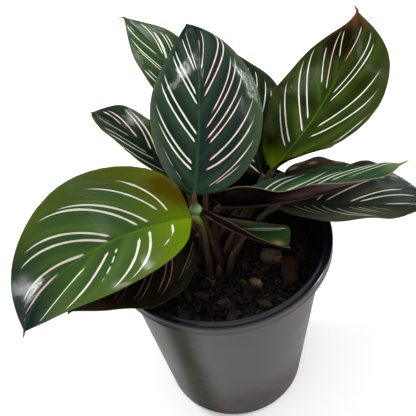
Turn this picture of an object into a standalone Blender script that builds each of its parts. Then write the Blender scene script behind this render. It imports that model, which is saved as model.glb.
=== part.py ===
"""A pinstripe calathea in its nursery pot.

Eleven leaves, each one piece with its stalk, stand with a few sheaths in the bark mix of a round plastic pot. Metres,
+Z up. The origin is the middle of the pot's flat base. The plant is seen from the -Y side. Sizes below are in
millimetres and degrees, and are turned into metres when a mesh is made.
"""

import math
import random
from typing import NamedTuple

import bmesh
import bpy
import numpy as np
from mathutils import Matrix, Vector

MM = 0.001
GAP = 0.3  # clearance between pieces that touch in the real plant

# Pot
POT_HEIGHT = 138.0
RIM_RADIUS = 70.0
RIM_SKIRT = 6.5  # height of the band that hangs from the rim
RIM_INNER = 64.2
RIM_EDGE = 1.2  # height of the rounding at the rim's outer edge
RIM_BEAD = 0.9  # width of that rounding
RIM_GROOVE = 0.5  # depth of the trough round the top of the rim
RIM_LIP = 1.4  # width of the raised lip at its inner edge
BODY_TOP_RADIUS = 65.6
BASE_RADIUS = 47.7
BASE_CORNER = 3.5
WALL = 1.5
FLOOR = 2.2
FLOOR_CORNER = 2.0
POT_SIDES = 56
DRAIN_HOLES = 8
DRAIN_RADIUS = 4.5
DRAIN_CIRCLE = 37.0
DRAIN_SIDES = 10

# Potting mix
MIX_LEVEL = 119.0
MIX_EDGE_DROP = 4.0  # the wall is measured this far under the mix level, for the mix to clear it
MIX_RINGS = 6
MIX_SECTORS = 28
MOUND_HEIGHT = 2.0
MOUND_CENTRE = (-6.0, 2.0)
MOUND_REACH = 30.0
COARSE_WAVE = 0.9
FINE_WAVE = 0.6
MEAN_DROP = 1.5  # how far the mix lies under its level between the waves

# Bark chips: pairs are the least and the most, as shares of a chip's length unless said
CHIP_COUNT = 54
CHIP_SEED = 12
CHIP_LENGTH = (8.0, 17.0)
CHIP_HALF_BREADTH = (0.28, 0.4)
CHIP_HALF_DEPTH = (0.16, 0.26)
CHIP_JOLT = (0.8, 1.2)  # of each corner's own place
CHIP_LEAN = 0.4  # radians
CHIP_LIFT = 0.25  # how far its middle stands over the mix, in half depths
CHIP_MARGIN = 0.62
GOLDEN_ANGLE = math.pi * (3 - math.sqrt(5))

# Leaves
BLADE_THICKNESS = 0.9
TAIL_HALF_WIDTH = 1.3
STALK_SIDES = 8
STALK_STEPS = 9
STALK_DEPTH = 24.0  # how far a stalk stands in the mix
STALK_RADIUS = 1.5
STALK_LEAN = 0.35  # share of the way to its blade that a stalk already points at its foot
CLASP_RADIUS = 2.5  # the clasping foot of a stalk
CLASP_END = 0.5  # share of the stalk where the clasp has run out
RIB_RADIUS = 1.25
RIB_END_RADIUS = 0.45
RIB_SUNK = 0.75  # how far the midrib's centre lies under the blade, in its own radii
RIB_REACH = 0.9  # how far along the blade the raised midrib runs
PINCH_PLACE = 0.92  # share of the blade where it narrows to its tip
PINCH_REACH = 0.06
OPENING = (0.6, 0.95)  # shares of the blade between which a fold opens towards the tip
STATION_BUNCHING = 0.65  # 0 spaces a blade's stations evenly, 1 bunches them at its ends
MIDRIB_STEPS = 200

# Sheaths
SHEATH_DEPTH = 12.0
SHEATH_SHARES = (0, 0.3, 0.6, 0.85, 1)
SHEATH_TAPER = (1, 1.05, 0.85, 0.5, 0.16)


class Leaf(NamedTuple):
    """A leaf. Pairs are heel and tip along the midrib, or the left and right half looking from heel to tip."""

    name: str
    foot: tuple  # x and y of the stalk where it leaves the mix
    heel: tuple  # where the stalk meets the blade
    heading: tuple  # compass of the midrib, from +X towards +Y
    pitch: tuple  # climb of the midrib
    roll: tuple  # how far the left half is lifted
    length: float
    half_width: tuple
    fold: tuple  # lift of each half at the midrib
    curl: tuple  # further bend of each half on the way to its margin
    roundness: float = 0.52  # under 1 is a full, round heel
    taper: float = 1.12  # over 1 is a drawn out tip
    bend: float = 1.3  # over 1 keeps the bend of the midrib near the tip
    wave: tuple = (1.2, 2.6, 0.1)  # margin: height, count along the blade, phase
    heel_curl: tuple = (0, 0)  # more curl of each half beside the heel
    heel_reach: float = 0.3  # how far along the blade that curl runs out
    late: tuple = (0, 0)  # over 0 keeps a half narrow until nearer the tip
    pinch: tuple = (0, 0)  # share of each half's width that is lost just before the tip
    open_tip: tuple = (0, 0)  # share of each half's fold that is lost towards the tip
    tail: float = 5.0  # length of the drip tip past the end of the blade
    hook: tuple = (0, 0)  # turn and lift of the drip tip against the blade
    turn: float = 26.0  # how widely the stalk turns into the blade
    knee: tuple = (2.1, 0.86, 0.11)  # swollen joint: radius, and place and reach as shares of the stalk
    stations: int = 12
    lanes: int = 6


LEAVES = (
    Leaf(
        name="leaf_centre",
        foot=(-9, -6),
        heel=(-12, -1, 178),
        heading=(72, 100),
        pitch=(41, -30),
        roll=(1, -4),
        length=143.5,
        half_width=(35.2, 40.6),
        fold=(0, -2),
        curl=(-41, -39),
        roundness=0.47,
        taper=1.38,
        bend=1.67,
        wave=(0.8, 2.0, 0.3),
        heel_curl=(5, 14),
        late=(0.01, -0.04),
        tail=3.0,
        knee=(3.7, 0.75, 0.065),
        stations=14,
        lanes=8,
    ),
    Leaf(
        name="leaf_left",
        foot=(-9, -13),
        heel=(-15, -13, 172),
        heading=(180, 202),
        pitch=(-4, -66),
        roll=(-20, -8),
        length=140,
        half_width=(42, 43),
        fold=(25, 32),
        curl=(-4, 1),
        roundness=0.37,
        taper=1.13,
        bend=1.48,
        wave=(0.9, 2.2, 0.0),
        stations=14,
        lanes=8,
    ),
    Leaf(
        name="leaf_right",
        foot=(3, 2),
        heel=(38, 30, 161),
        heading=(34, 73),
        pitch=(21, 15),
        roll=(-7, -5),
        length=134,
        half_width=(39.5, 42),
        fold=(6, 18),
        curl=(-20, -5),
        taper=1.2,
        wave=(1.3, 2.8, 0.2),
        heel_curl=(0, 80),
        heel_reach=0.2,
        pinch=(0.3, 0.05),
        hook=(35, 10),
        turn=12,
        stations=14,
        lanes=8,
    ),
    Leaf(
        name="leaf_back_left",
        foot=(-10, 8),
        heel=(0, 58, 184),
        heading=(112, 125),
        pitch=(26, 4),
        roll=(0, -1),
        length=103,
        half_width=(20, 20),
        fold=(12, 12),
        curl=(-18, -18),
        roundness=0.5,
        taper=1.16,
        hook=(35, -25),
    ),
    Leaf(
        name="leaf_small_left",
        foot=(-16, 3),
        heel=(-18, 29, 160),
        heading=(135, 122),
        pitch=(32, -33),
        roll=(4, -5),
        length=101,
        half_width=(16, 15),
        fold=(24, 25),
        curl=(-11, -11),
        roundness=0.54,
        taper=1.1,
        late=(-0.08, 0),
        pinch=(0.15, 0),
    ),
    Leaf(
        name="leaf_back_right",
        foot=(-3, 11),
        heel=(32, 35, 152),
        heading=(93, 93),
        pitch=(15, -5),
        roll=(2, 4),
        length=123,
        half_width=(29, 29),
        fold=(6, 5),
        curl=(-17, -18),
        taper=1.11,
    ),
    Leaf(
        name="leaf_folded",
        foot=(-4, 1),
        heel=(3, 5, 160),
        heading=(-12, 16),
        pitch=(3, 11),
        roll=(-8, 1),
        length=113,
        half_width=(22.5, 28),
        fold=(0, 51),
        curl=(2, 6),
        roundness=0.28,
        taper=1.1,
        wave=(1.4, 3.2, 0.35),
        heel_curl=(13, 40),
        late=(0.2, 0),
        pinch=(-0.4, 0),
        open_tip=(0, 0.6),
        turn=14,
        stations=14,
    ),
    Leaf(
        name="leaf_low_right",
        foot=(5, -6),
        heel=(38, 8, 150),
        heading=(-3, 7),
        pitch=(-5, -23),
        roll=(5, -6),
        length=105,
        half_width=(29.5, 30.5),
        fold=(28, 31),
        curl=(-5, -5),
        taper=1.09,
        wave=(1.6, 3.0, 0.6),
        late=(0.5, 0),
        pinch=(0, 0.25),
        stations=14,
    ),
    Leaf(
        name="leaf_curled_front",
        foot=(-2, -6),
        heel=(-9, 1, 163),
        heading=(-40, -3),
        pitch=(-24, -20),
        roll=(-4, 11),
        length=58,
        half_width=(13.5, 15),
        fold=(46, 56),
        curl=(4, -1),
        roundness=0.55,
        taper=0.28,
        wave=(0.5, 2.0, 0.2),
        heel_curl=(120, 45),
        heel_reach=0.8,
        late=(1.4, 0),
        pinch=(0, 0.3),
        tail=1.0,
        turn=12,
        stations=10,
    ),
    Leaf(
        name="leaf_under_left",
        foot=(-15, -4),
        heel=(-14, -3, 145),
        heading=(199, 217),
        pitch=(14, -27),
        roll=(-15, 3),
        length=92,
        half_width=(36.5, 35.5),
        fold=(6, 8),
        curl=(-16, -15),
        taper=1.08,
        wave=(1.6, 3.0, 0.1),
        tail=2.0,
    ),
    Leaf(
        name="leaf_behind_fold",
        foot=(8, 7),
        heel=(47, 39, 147.5),
        heading=(0, -5),
        pitch=(7, -17),
        roll=(-5, -2),
        length=49,
        half_width=(15.5, 16.5),
        fold=(-4, 12),
        curl=(-19, -16),
        roundness=0.53,
        taper=1.1,
        stations=10,
    ),
)


class Sheath(NamedTuple):
    """A short sheath or dried stub at the crown: a tapered horn from the mix up to its tip."""

    name: str
    foot: tuple
    tip: tuple
    radius: float


SHEATHS = (
    Sheath("sheath_olive_tall", (-3, 20), (-1, 17, 147), 2.6),
    Sheath("sheath_olive_short", (3, -14), (6, -15, 140), 2.3),
    Sheath("sheath_dry_left", (-17, -11), (-18, -12, 130), 2.2),
    Sheath("sheath_dry_front", (-4, -15), (-3, -17, 131), 2.4),
)


def unit(v):
    return v / np.linalg.norm(v, axis=-1, keepdims=True)


def ease(x, low, high):
    """0 below low, 1 above high, smooth between."""
    x = np.clip((x - low) / (high - low), 0, 1)
    return x * x * (3 - 2 * x)


def midrib(leaf, s):
    """Points of the midrib at shares s of its length, with its own left and up directions."""
    ends = np.linspace(0, 1, MIDRIB_STEPS + 1)
    points = np.vstack([np.zeros(3), np.cumsum(direction(leaf, (ends[1:] + ends[:-1]) / 2), axis=0)])
    points = np.array(leaf.heel) + points * leaf.length / MIDRIB_STEPS
    points = np.stack([np.interp(s, ends, points[:, i]) for i in range(3)], -1)
    heading, _ = angles(leaf, s)
    level = np.stack([-np.sin(heading), np.cos(heading), np.zeros_like(heading)], -1)
    rise = np.cross(direction(leaf, s), level)
    roll = np.radians(leaf.roll[0] + (leaf.roll[1] - leaf.roll[0]) * s)[:, None]
    left = level * np.cos(roll) + rise * np.sin(roll)
    up = rise * np.cos(roll) - level * np.sin(roll)
    return points, left, up


def angles(leaf, s):
    heading = np.radians(leaf.heading[0] + (leaf.heading[1] - leaf.heading[0]) * s)
    pitch = np.radians(leaf.pitch[0] + (leaf.pitch[1] - leaf.pitch[0]) * s**leaf.bend)
    return heading, pitch


def direction(leaf, s):
    heading, pitch = angles(leaf, s)
    return np.stack([np.cos(pitch) * np.cos(heading), np.cos(pitch) * np.sin(heading), np.sin(pitch)], -1)


def tail_direction(leaf):
    """Where the drip tip points: on from the blade, turned and lifted by its hook."""
    heading, pitch = (angle[0] for angle in angles(leaf, np.ones(1)))
    heading, pitch = heading + math.radians(leaf.hook[0]), pitch + math.radians(leaf.hook[1])
    return np.array([math.cos(pitch) * math.cos(heading), math.cos(pitch) * math.sin(heading), math.sin(pitch)])


def width_share(leaf, s, late):
    """The outline: half the width at share s of the length, where the widest place is 1."""
    a, b = leaf.roundness + late, leaf.taper
    widest = np.sqrt(a / (a + 2 * b))
    s = np.clip(s, 0, 1)
    return (s / widest) ** a * ((1 - s**2) / (1 - widest**2)) ** b


def blade_points(leaf, s, t):
    """Points of the blade's middle surface at length share s and width share t, -1 at the right margin, 1 at the left."""
    whole = 1 + leaf.tail / leaf.length
    along = np.clip(s * whole, 0, 1)
    points, left, up = midrib(leaf, along)
    points = points + tail_direction(leaf) * (np.maximum(s * whole - 1, 0) * leaf.length)[:, None]
    late = np.where(t > 0, leaf.late[0], leaf.late[1])
    half = np.where(t > 0, leaf.half_width[0], leaf.half_width[1]) * width_share(leaf, along, late)
    narrowing = np.where(t > 0, leaf.pinch[0], leaf.pinch[1]) * np.exp(-(((s - PINCH_PLACE) / PINCH_REACH) ** 2))
    half = half * (1 - narrowing)
    tail = TAIL_HALF_WIDTH * np.clip((1 - s) / (1.6 * leaf.tail / leaf.length), 0, 1) ** 0.6
    half = np.where(s > 0.8, np.maximum(half, tail), half)
    opened = np.where(t > 0, leaf.open_tip[0], leaf.open_tip[1]) * ease(s, *OPENING)
    fold = np.radians(np.where(t > 0, leaf.fold[0], leaf.fold[1]) * (1 - opened))
    heel_curl = np.where(t > 0, leaf.heel_curl[0], leaf.heel_curl[1]) * np.clip(1 - s / leaf.heel_reach, 0, 1)
    curl = np.radians(np.where(t > 0, leaf.curl[0], leaf.curl[1]) + heel_curl)
    curl = np.where(np.abs(curl) < 1e-3, 1e-3, curl)
    reach = np.abs(t)
    out = half * (np.sin(fold + curl * reach) - np.sin(fold)) / curl
    rise = half * (np.cos(fold) - np.cos(fold + curl * reach)) / curl
    height, count, phase = leaf.wave
    turn = count * s + phase + np.where(t > 0, 0, 0.4)
    rise = rise + height * np.sin(2 * math.pi * turn) * reach**2 * np.sin(math.pi * s)
    return points + left * (out * np.sign(t))[:, None] + up * rise[:, None]


def blade_grid(leaf):
    """Stations from heel to tip by lanes from right to left, bunched where the outline bends most."""
    even = np.linspace(0, 1, leaf.stations + 1)
    bunched = (1 - np.cos(math.pi * even)) / 2
    s = even + (bunched - even) * STATION_BUNCHING
    t = np.linspace(-1, 1, leaf.lanes + 1)
    grid_s, grid_t = np.meshgrid(s, t, indexing="ij")
    points = blade_points(leaf, grid_s.ravel(), grid_t.ravel()).reshape(*grid_s.shape, 3)
    along = np.gradient(points, axis=0)
    across = np.gradient(points, axis=1)
    normals = np.cross(along, across)
    normals[0], normals[-1] = normals[1], normals[-2]
    return s, points, unit(normals)


def new_object(name, points, faces, material):
    """A closed mesh from points in millimetres."""
    mesh = bpy.data.meshes.new(name)
    mesh.from_pydata([Vector(p) * MM for p in np.asarray(points, float)], [], faces)
    mesh.validate()
    bm = bmesh.new()
    bm.from_mesh(mesh)
    bmesh.ops.recalc_face_normals(bm, faces=bm.faces)
    bm.to_mesh(mesh)
    bm.free()
    mesh.materials.append(material)
    obj = bpy.data.objects.new(name, mesh)
    bpy.context.scene.collection.objects.link(obj)
    return obj


def blade(leaf, material):
    """The blade as a thin slab, cut into the same triangles on both faces."""
    _, middle, normals = blade_grid(leaf)
    rows, lanes = leaf.stations, leaf.lanes
    offset = normals * (BLADE_THICKNESS / 2)
    points, index = [], {}
    for side, sheet in ((1, middle + offset), (0, middle - offset)):
        for i in range(rows + 1):
            for j in range(lanes + 1):
                if i in (0, rows) and j:
                    index[side, i, j] = index[side, i, 0]
                    continue
                index[side, i, j] = len(points)
                points.append(sheet[i, lanes // 2 if i in (0, rows) else j])
    faces = []
    for i in range(rows):
        for j in range(lanes):
            corners = [(i, j), (i + 1, j), (i + 1, j + 1), (i, j + 1)]
            if j >= lanes // 2:
                corners = corners[1:] + corners[:1]
            for three in (corners[:3], [corners[0], *corners[2:]]):
                for side in (1, 0):
                    face = [index[side, *corner] for corner in three]
                    if len(set(face)) == 3:
                        faces.append(face if side else face[::-1])
        for j in (0, lanes):
            wall = [index[1, i, j], index[1, i + 1, j], index[0, i + 1, j], index[0, i, j]]
            faces.append(wall if j else wall[::-1])
    return new_object(leaf.name, points, faces, material)


def tube(name, centres, radii, material, sides=STALK_SIDES):
    """A closed tube round the centres, without twist, with flat ends."""
    centres = np.asarray(centres, float)
    tangents = unit(np.gradient(centres, axis=0))
    side = unit(np.cross(tangents[0], (0.3, 1.0, 0.2)))
    points, faces = [], []
    for centre, radius, tangent in zip(centres, radii, tangents):
        side = unit(side - tangent * (side @ tangent))
        other = np.cross(tangent, side)
        for k in range(sides):
            turn = 2 * math.pi * k / sides
            points.append(centre + radius * (side * math.cos(turn) + other * math.sin(turn)))
    for i in range(len(centres) - 1):
        for k in range(sides):
            a, b = i * sides + k, i * sides + (k + 1) % sides
            faces.append([a, b, b + sides, a + sides])
    faces.append(list(range(sides))[::-1])
    faces.append([len(points) - sides + k for k in range(sides)])
    return new_object(name, points, faces, material)


def stalk_route(leaf):
    """Centres and radii of the stalk above the mix, upright at its foot and turning into the blade at its knee.

    The centres follow a Hermite curve whose end slopes are start and end.
    """
    foot = np.array([*leaf.foot, MIX_LEVEL])
    _, _, up = midrib(leaf, np.zeros(1))
    heel = np.array(leaf.heel, float) - up[0] * RIB_RADIUS * RIB_SUNK
    run = np.linalg.norm(heel - foot)
    start = unit((heel - foot) * (STALK_LEAN, STALK_LEAN, 1)) * run * 1.2
    end = direction(leaf, np.zeros(1))[0] * min(0.55 * run, leaf.turn)
    u = np.linspace(0, 1, STALK_STEPS + 1)[:, None] ** 0.85
    centres = (
        (2 * u**3 - 3 * u**2 + 1) * foot
        + (u**3 - 2 * u**2 + u) * start
        + (3 * u**2 - 2 * u**3) * heel
        + (u**3 - u**2) * end
    )
    u = u[:, 0]
    clasp = (CLASP_RADIUS - STALK_RADIUS) * np.clip(1 - u / CLASP_END, 0, 1)
    radius, place, reach = leaf.knee
    knee = (radius - STALK_RADIUS) * np.exp(-(((u - place) / reach) ** 2))
    return centres, STALK_RADIUS + clasp + knee


def underground(foot, radius, depth=STALK_DEPTH):
    """A straight foot that stands in the mix."""
    return [np.array([foot[0], foot[1], MIX_LEVEL - depth])], [radius]


def leaf_stem(leaf, material):
    """Stalk, knee and raised midrib as one tapered tube, from inside the mix to near the tip."""
    low, low_radius = underground(leaf.foot, CLASP_RADIUS)
    above, above_radius = stalk_route(leaf)
    s, middle, normals = blade_grid(leaf)
    keep = [i for i in range(1, len(s)) if s[i] <= RIB_REACH]
    share = s[keep] / RIB_REACH
    radius = RIB_RADIUS + (RIB_END_RADIUS - RIB_RADIUS) * share
    centre_lane = leaf.lanes // 2
    rib = middle[keep, centre_lane] - normals[keep, centre_lane] * (radius * RIB_SUNK)[:, None]
    centres = np.vstack([low, above, rib])
    radii = np.concatenate([low_radius, above_radius, radius])
    return tube(leaf.name + "_stem", centres, radii, material)


def join(target, others, operation="UNION"):
    """One Boolean of a collection of solids on the target, applied, and the solids removed."""
    group = bpy.data.collections.new("parts of " + target.name)
    for other in others:
        group.objects.link(other)
    cut = target.modifiers.new("Join", "BOOLEAN")
    cut.operand_type = "COLLECTION"
    cut.collection = group
    cut.operation = operation
    cut.solver = "MANIFOLD"
    bpy.context.view_layer.update()
    graph = bpy.context.evaluated_depsgraph_get()
    mesh = bpy.data.meshes.new_from_object(target.evaluated_get(graph))
    target.modifiers.clear()
    target.data = mesh
    for other in others:
        bpy.data.objects.remove(other)
    bpy.data.collections.remove(group)
    return target


def principled(name, colour, roughness, metallic=0.0):
    material = bpy.data.materials.new(name)
    material.use_nodes = True
    shader = material.node_tree.nodes["Principled BSDF"]
    shader.inputs["Base Color"].default_value = (*colour, 1)
    shader.inputs["Roughness"].default_value = roughness
    shader.inputs["Metallic"].default_value = metallic
    material.diffuse_color = (*colour, 1)
    return material


def turned(name, profile, sides, material):
    """A body of revolution from a closed profile of (radius, height), whose first and last points lie on the axis."""
    points, rings = [], []
    for radius, height in profile:
        if radius == 0:
            rings.append([len(points)] * sides)
            points.append((0, 0, height))
            continue
        rings.append([len(points) + k for k in range(sides)])
        for k in range(sides):
            turn = 2 * math.pi * k / sides
            points.append((radius * math.cos(turn), radius * math.sin(turn), height))
    faces = []
    for lower, upper in zip(rings, rings[1:]):
        for k in range(sides):
            face = [lower[k], lower[(k + 1) % sides], upper[(k + 1) % sides], upper[k]]
            face = [p for i, p in enumerate(face) if p != face[i - 1]]
            if len(face) > 2:
                faces.append(face)
    return new_object(name, points, faces, material)


def wall_radius(height):
    """Outer radius of the pot's tapered wall."""
    return BASE_RADIUS + (BODY_TOP_RADIUS - BASE_RADIUS) * height / POT_HEIGHT


def pot(material):
    """A tapered shell with a rounded base corner and a rolled rim whose skirt stands off the wall."""
    skirt_foot = POT_HEIGHT - RIM_SKIRT
    rim_underside = POT_HEIGHT - WALL
    corner = [
        (
            wall_radius(BASE_CORNER) - BASE_CORNER * (1 - math.sin(turn)),
            BASE_CORNER * (1 - math.cos(turn)),
        )
        for turn in (0, math.pi / 4, math.pi / 2)
    ]
    profile = [
        (0, 0),
        *corner,
        (wall_radius(rim_underside), rim_underside),
        (RIM_RADIUS - WALL, rim_underside),
        (RIM_RADIUS - WALL, skirt_foot),
        (RIM_RADIUS, skirt_foot),
        (RIM_RADIUS, POT_HEIGHT - RIM_EDGE),
        (RIM_RADIUS - RIM_BEAD, POT_HEIGHT),
        (RIM_RADIUS - 2.5 * RIM_BEAD, POT_HEIGHT - RIM_GROOVE),
        (RIM_INNER + RIM_LIP, POT_HEIGHT - RIM_GROOVE),
        (RIM_INNER + RIM_LIP / 2, POT_HEIGHT),
        (RIM_INNER, POT_HEIGHT - RIM_GROOVE),
        (wall_radius(FLOOR + FLOOR_CORNER) - WALL, FLOOR + FLOOR_CORNER),
        (wall_radius(FLOOR) - WALL - FLOOR_CORNER, FLOOR),
        (0, FLOOR),
    ]
    shell = turned("pot", profile, POT_SIDES, material)
    holes = []
    for k in range(DRAIN_HOLES):
        turn = 2 * math.pi * (k + 0.5) / DRAIN_HOLES
        x, y = DRAIN_CIRCLE * math.cos(turn), DRAIN_CIRCLE * math.sin(turn)
        ends = [(x, y, -FLOOR), (x, y, 2 * FLOOR)]
        holes.append(tube(f"drain_{k}", ends, [DRAIN_RADIUS] * 2, material, DRAIN_SIDES))
    return join(shell, holes, "DIFFERENCE")


def mix_radius(height):
    return wall_radius(height) - WALL - GAP


def mix_height(x, y):
    """The uneven top of the mix: low waves, a shallow mound at the crown."""
    away = math.hypot(x - MOUND_CENTRE[0], y - MOUND_CENTRE[1])
    mound = MOUND_HEIGHT * math.exp(-((away / MOUND_REACH) ** 2))
    coarse = COARSE_WAVE * math.sin(0.23 * x + 1.0) * math.cos(0.19 * y)
    fine = FINE_WAVE * math.sin(0.41 * y + 0.17 * x)
    return MIX_LEVEL - MEAN_DROP + mound + coarse + fine


def mix_body(material):
    """The mix fills the pot from its floor to the mix level, with an uneven top."""
    points = [(0, 0, FLOOR + GAP)]
    rings = [[0] * MIX_SECTORS]
    corner = FLOOR_CORNER + GAP
    levels = [(mix_radius(FLOOR) - corner, FLOOR + GAP), (mix_radius(FLOOR + corner), FLOOR + corner + GAP)]
    tops = [(mix_radius(MIX_LEVEL - MIX_EDGE_DROP) * k / MIX_RINGS, None) for k in range(MIX_RINGS, 0, -1)]
    for radius, height in levels + tops:
        ring = []
        for k in range(MIX_SECTORS):
            turn = 2 * math.pi * k / MIX_SECTORS
            x, y = radius * math.cos(turn), radius * math.sin(turn)
            ring.append(len(points))
            points.append((x, y, mix_height(x, y) if height is None else height))
        rings.append(ring)
    rings.append([len(points)] * MIX_SECTORS)
    points.append((0, 0, mix_height(0, 0)))
    faces = []
    for lower, upper in zip(rings, rings[1:]):
        for k in range(MIX_SECTORS):
            face = [lower[k], lower[(k + 1) % MIX_SECTORS], upper[(k + 1) % MIX_SECTORS], upper[k]]
            face = [p for i, p in enumerate(face) if p != face[i - 1]]
            if len(face) > 2:
                faces.append(face)
    return new_object("potting_mix", points, faces, material)


def bark_chip(name, x, y, length, draw, material):
    """A flat, angular piece of bark that lies half sunk in the mix."""
    bm = bmesh.new()
    bmesh.ops.create_icosphere(bm, subdivisions=1, radius=1)
    breadth, depth = draw.uniform(*CHIP_HALF_BREADTH), draw.uniform(*CHIP_HALF_DEPTH)
    size = Vector((0.5, breadth, depth)) * length
    yaw = draw.uniform(0, math.tau)
    lean_x, lean_y = (draw.uniform(-CHIP_LEAN, CHIP_LEAN) for _ in range(2))
    for vert in bm.verts:
        jolt = Vector([draw.uniform(*CHIP_JOLT) for _ in range(3)])
        vert.co = vert.co * size * jolt * MM
    for angle, axis in ((lean_x, (1, 0, 0)), (lean_y, (0, 1, 0)), (yaw, (0, 0, 1))):
        bmesh.ops.rotate(bm, verts=bm.verts, matrix=Matrix.Rotation(angle, 3, axis))
    place = Vector((x, y, mix_height(x, y) + size.z * CHIP_LIFT)) * MM
    bmesh.ops.translate(bm, verts=bm.verts, vec=place)
    mesh = bpy.data.meshes.new(name)
    bm.to_mesh(mesh)
    bm.free()
    mesh.materials.append(material)
    obj = bpy.data.objects.new(name, mesh)
    bpy.context.scene.collection.objects.link(obj)
    return obj


def potting_mix(material):
    """The mix with bark chips fused into its top, and a plain hole for each stalk and sheath."""
    body = mix_body(material)
    draw = random.Random(CHIP_SEED)
    chips = []
    for k in range(CHIP_COUNT):
        length = draw.uniform(*CHIP_LENGTH)
        radius = (mix_radius(MIX_LEVEL) - length * CHIP_MARGIN) * math.sqrt((k + 0.5) / CHIP_COUNT)
        turn = k * GOLDEN_ANGLE + draw.uniform(-0.2, 0.2)
        x, y = radius * math.cos(turn), radius * math.sin(turn)
        chips.append(bark_chip(f"chip_{k}", x, y, length, draw, material))
    join(body, chips)
    holes = []
    for leaf in LEAVES:
        low, low_radius = underground(leaf.foot, CLASP_RADIUS + GAP, STALK_DEPTH + GAP)
        above, above_radius = stalk_route(leaf)
        holes.append(tube("hole", [*low, *above[:3]], [*low_radius, *(above_radius[:3] + GAP)], material))
    for sheath in SHEATHS:
        centres, radii = sheath_route(sheath, GAP)
        holes.append(tube("hole", centres, radii, material))
    return join(body, holes, "DIFFERENCE")


def sheath_route(sheath, clearance=0.0):
    """Centres and radii of a sheath from inside the mix to its tip."""
    foot = np.array([*sheath.foot, MIX_LEVEL])
    tip = np.array(sheath.tip, float)
    low, low_radius = underground(sheath.foot, sheath.radius + clearance, SHEATH_DEPTH + clearance)
    centres = foot + (tip - foot) * np.array(SHEATH_SHARES)[:, None]
    radii = sheath.radius * np.array(SHEATH_TAPER) + clearance
    return [*low, *centres], [*low_radius, *radii]


def clear_scene():
    for obj in list(bpy.data.objects):
        bpy.data.objects.remove(obj)


def main():
    clear_scene()
    bpy.context.scene.unit_settings.scale_length = 1.0
    plastic = principled("pot_plastic", (0.045, 0.043, 0.043), 0.38)
    mix = principled("bark_mix", (0.035, 0.022, 0.015), 0.9)
    leaf_green = principled("leaf_green", (0.03, 0.085, 0.035), 0.35)
    sheath_skin = principled("sheath_skin", (0.12, 0.10, 0.04), 0.6)
    pot(plastic)
    potting_mix(mix)
    for leaf in LEAVES:
        join(blade(leaf, leaf_green), [leaf_stem(leaf, leaf_green)])
    for sheath in SHEATHS:
        centres, radii = sheath_route(sheath)
        tube(sheath.name, centres, radii, sheath_skin)


if __name__ == "__main__":
    main()
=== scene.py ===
"""The looks of a pinstripe calathea in its nursery pot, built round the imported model.

Lengths are in millimetres and angles in degrees, and become metres and radians where a mesh is made.
The origin is the middle of the pot's base, +Z is up and the plant is seen from the -Y side, from above.
"""

import math
import random
from typing import NamedTuple

import bmesh
import bpy
import numpy as np
from mathutils import Matrix, Vector

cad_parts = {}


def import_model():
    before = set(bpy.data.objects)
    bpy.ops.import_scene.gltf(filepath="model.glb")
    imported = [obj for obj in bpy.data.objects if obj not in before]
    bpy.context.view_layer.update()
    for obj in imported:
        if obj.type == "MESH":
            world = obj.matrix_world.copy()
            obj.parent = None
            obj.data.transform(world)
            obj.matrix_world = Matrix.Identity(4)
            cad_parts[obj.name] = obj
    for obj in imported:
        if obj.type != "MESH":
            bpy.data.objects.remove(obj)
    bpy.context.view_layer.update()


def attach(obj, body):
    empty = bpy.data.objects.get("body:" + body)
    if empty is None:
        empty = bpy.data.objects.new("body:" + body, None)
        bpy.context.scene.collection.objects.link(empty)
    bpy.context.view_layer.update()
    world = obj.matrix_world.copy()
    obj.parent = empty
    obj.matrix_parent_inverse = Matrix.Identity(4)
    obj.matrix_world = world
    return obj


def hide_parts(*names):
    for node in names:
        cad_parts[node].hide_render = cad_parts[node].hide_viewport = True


MM = 0.001
ROOT = "root"

# Light: soft boxes in a room that is dim at its foot
PLANT_MIDDLE = (0.0, 0.0, 0.17)  # metres
LIGHTS = (  # heading, height, distance in metres, size and power
    ("back_left", 150, 54, 2.4, (0.5, 0.5), 28),
    ("right", 4, 48, 2.4, (1.0, 0.8), 24),
)
GLINTS = (  # strips that only show as gloss on the leaves and the rim
    ("strip_back", 112, 52, 2.4, (0.07, 0.6), 34),
    ("strip_back_left", 136, 51, 2.4, (0.1, 0.4), 12),
    ("strip_right_low", 34, 20, 2.2, (0.8, 0.12), 32),
    ("strip_right", 7, 38, 2.4, (0.5, 0.2), 6),
    ("strip_front_left", -136, 1, 2.4, (0.12, 0.26), 38),
    ("strip_left", -115, 29, 2.4, (0.06, 0.05), 3),
)
WORLD_BANDS = (  # from one height of a direction to another, and the world's glow at each of them
    (0.05, 0.5, 0.14, 0.68),  # walls to ceiling
    (0.006, 0.04, 0.75, 0.0),  # a thin pale band that hides where the floor ends
)
FLOOR_GLOW = 0.25
FLOOR_SIZE = 180  # metres, so that no low view sees past its edge

# Camera: the photograph's view, from the ellipses of the pot's rim and base
PHOTO_SIDE = 416  # pixels
FOCAL_PIXELS = 780
SENSOR_MM = 36.0
CAMERA_PLACE = (0.0, -325.4, 501.7)
CAMERA_RIGHT = (0.99201, -0.08310, -0.09495)
CAMERA_UP = (0.12573, 0.71453, 0.68821)

# Pot, as in the model
POT_HEIGHT = 138.0
RIM_RADIUS = 70.0
RIM_SKIRT = 6.5
RIM_INNER = 64.2
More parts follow.
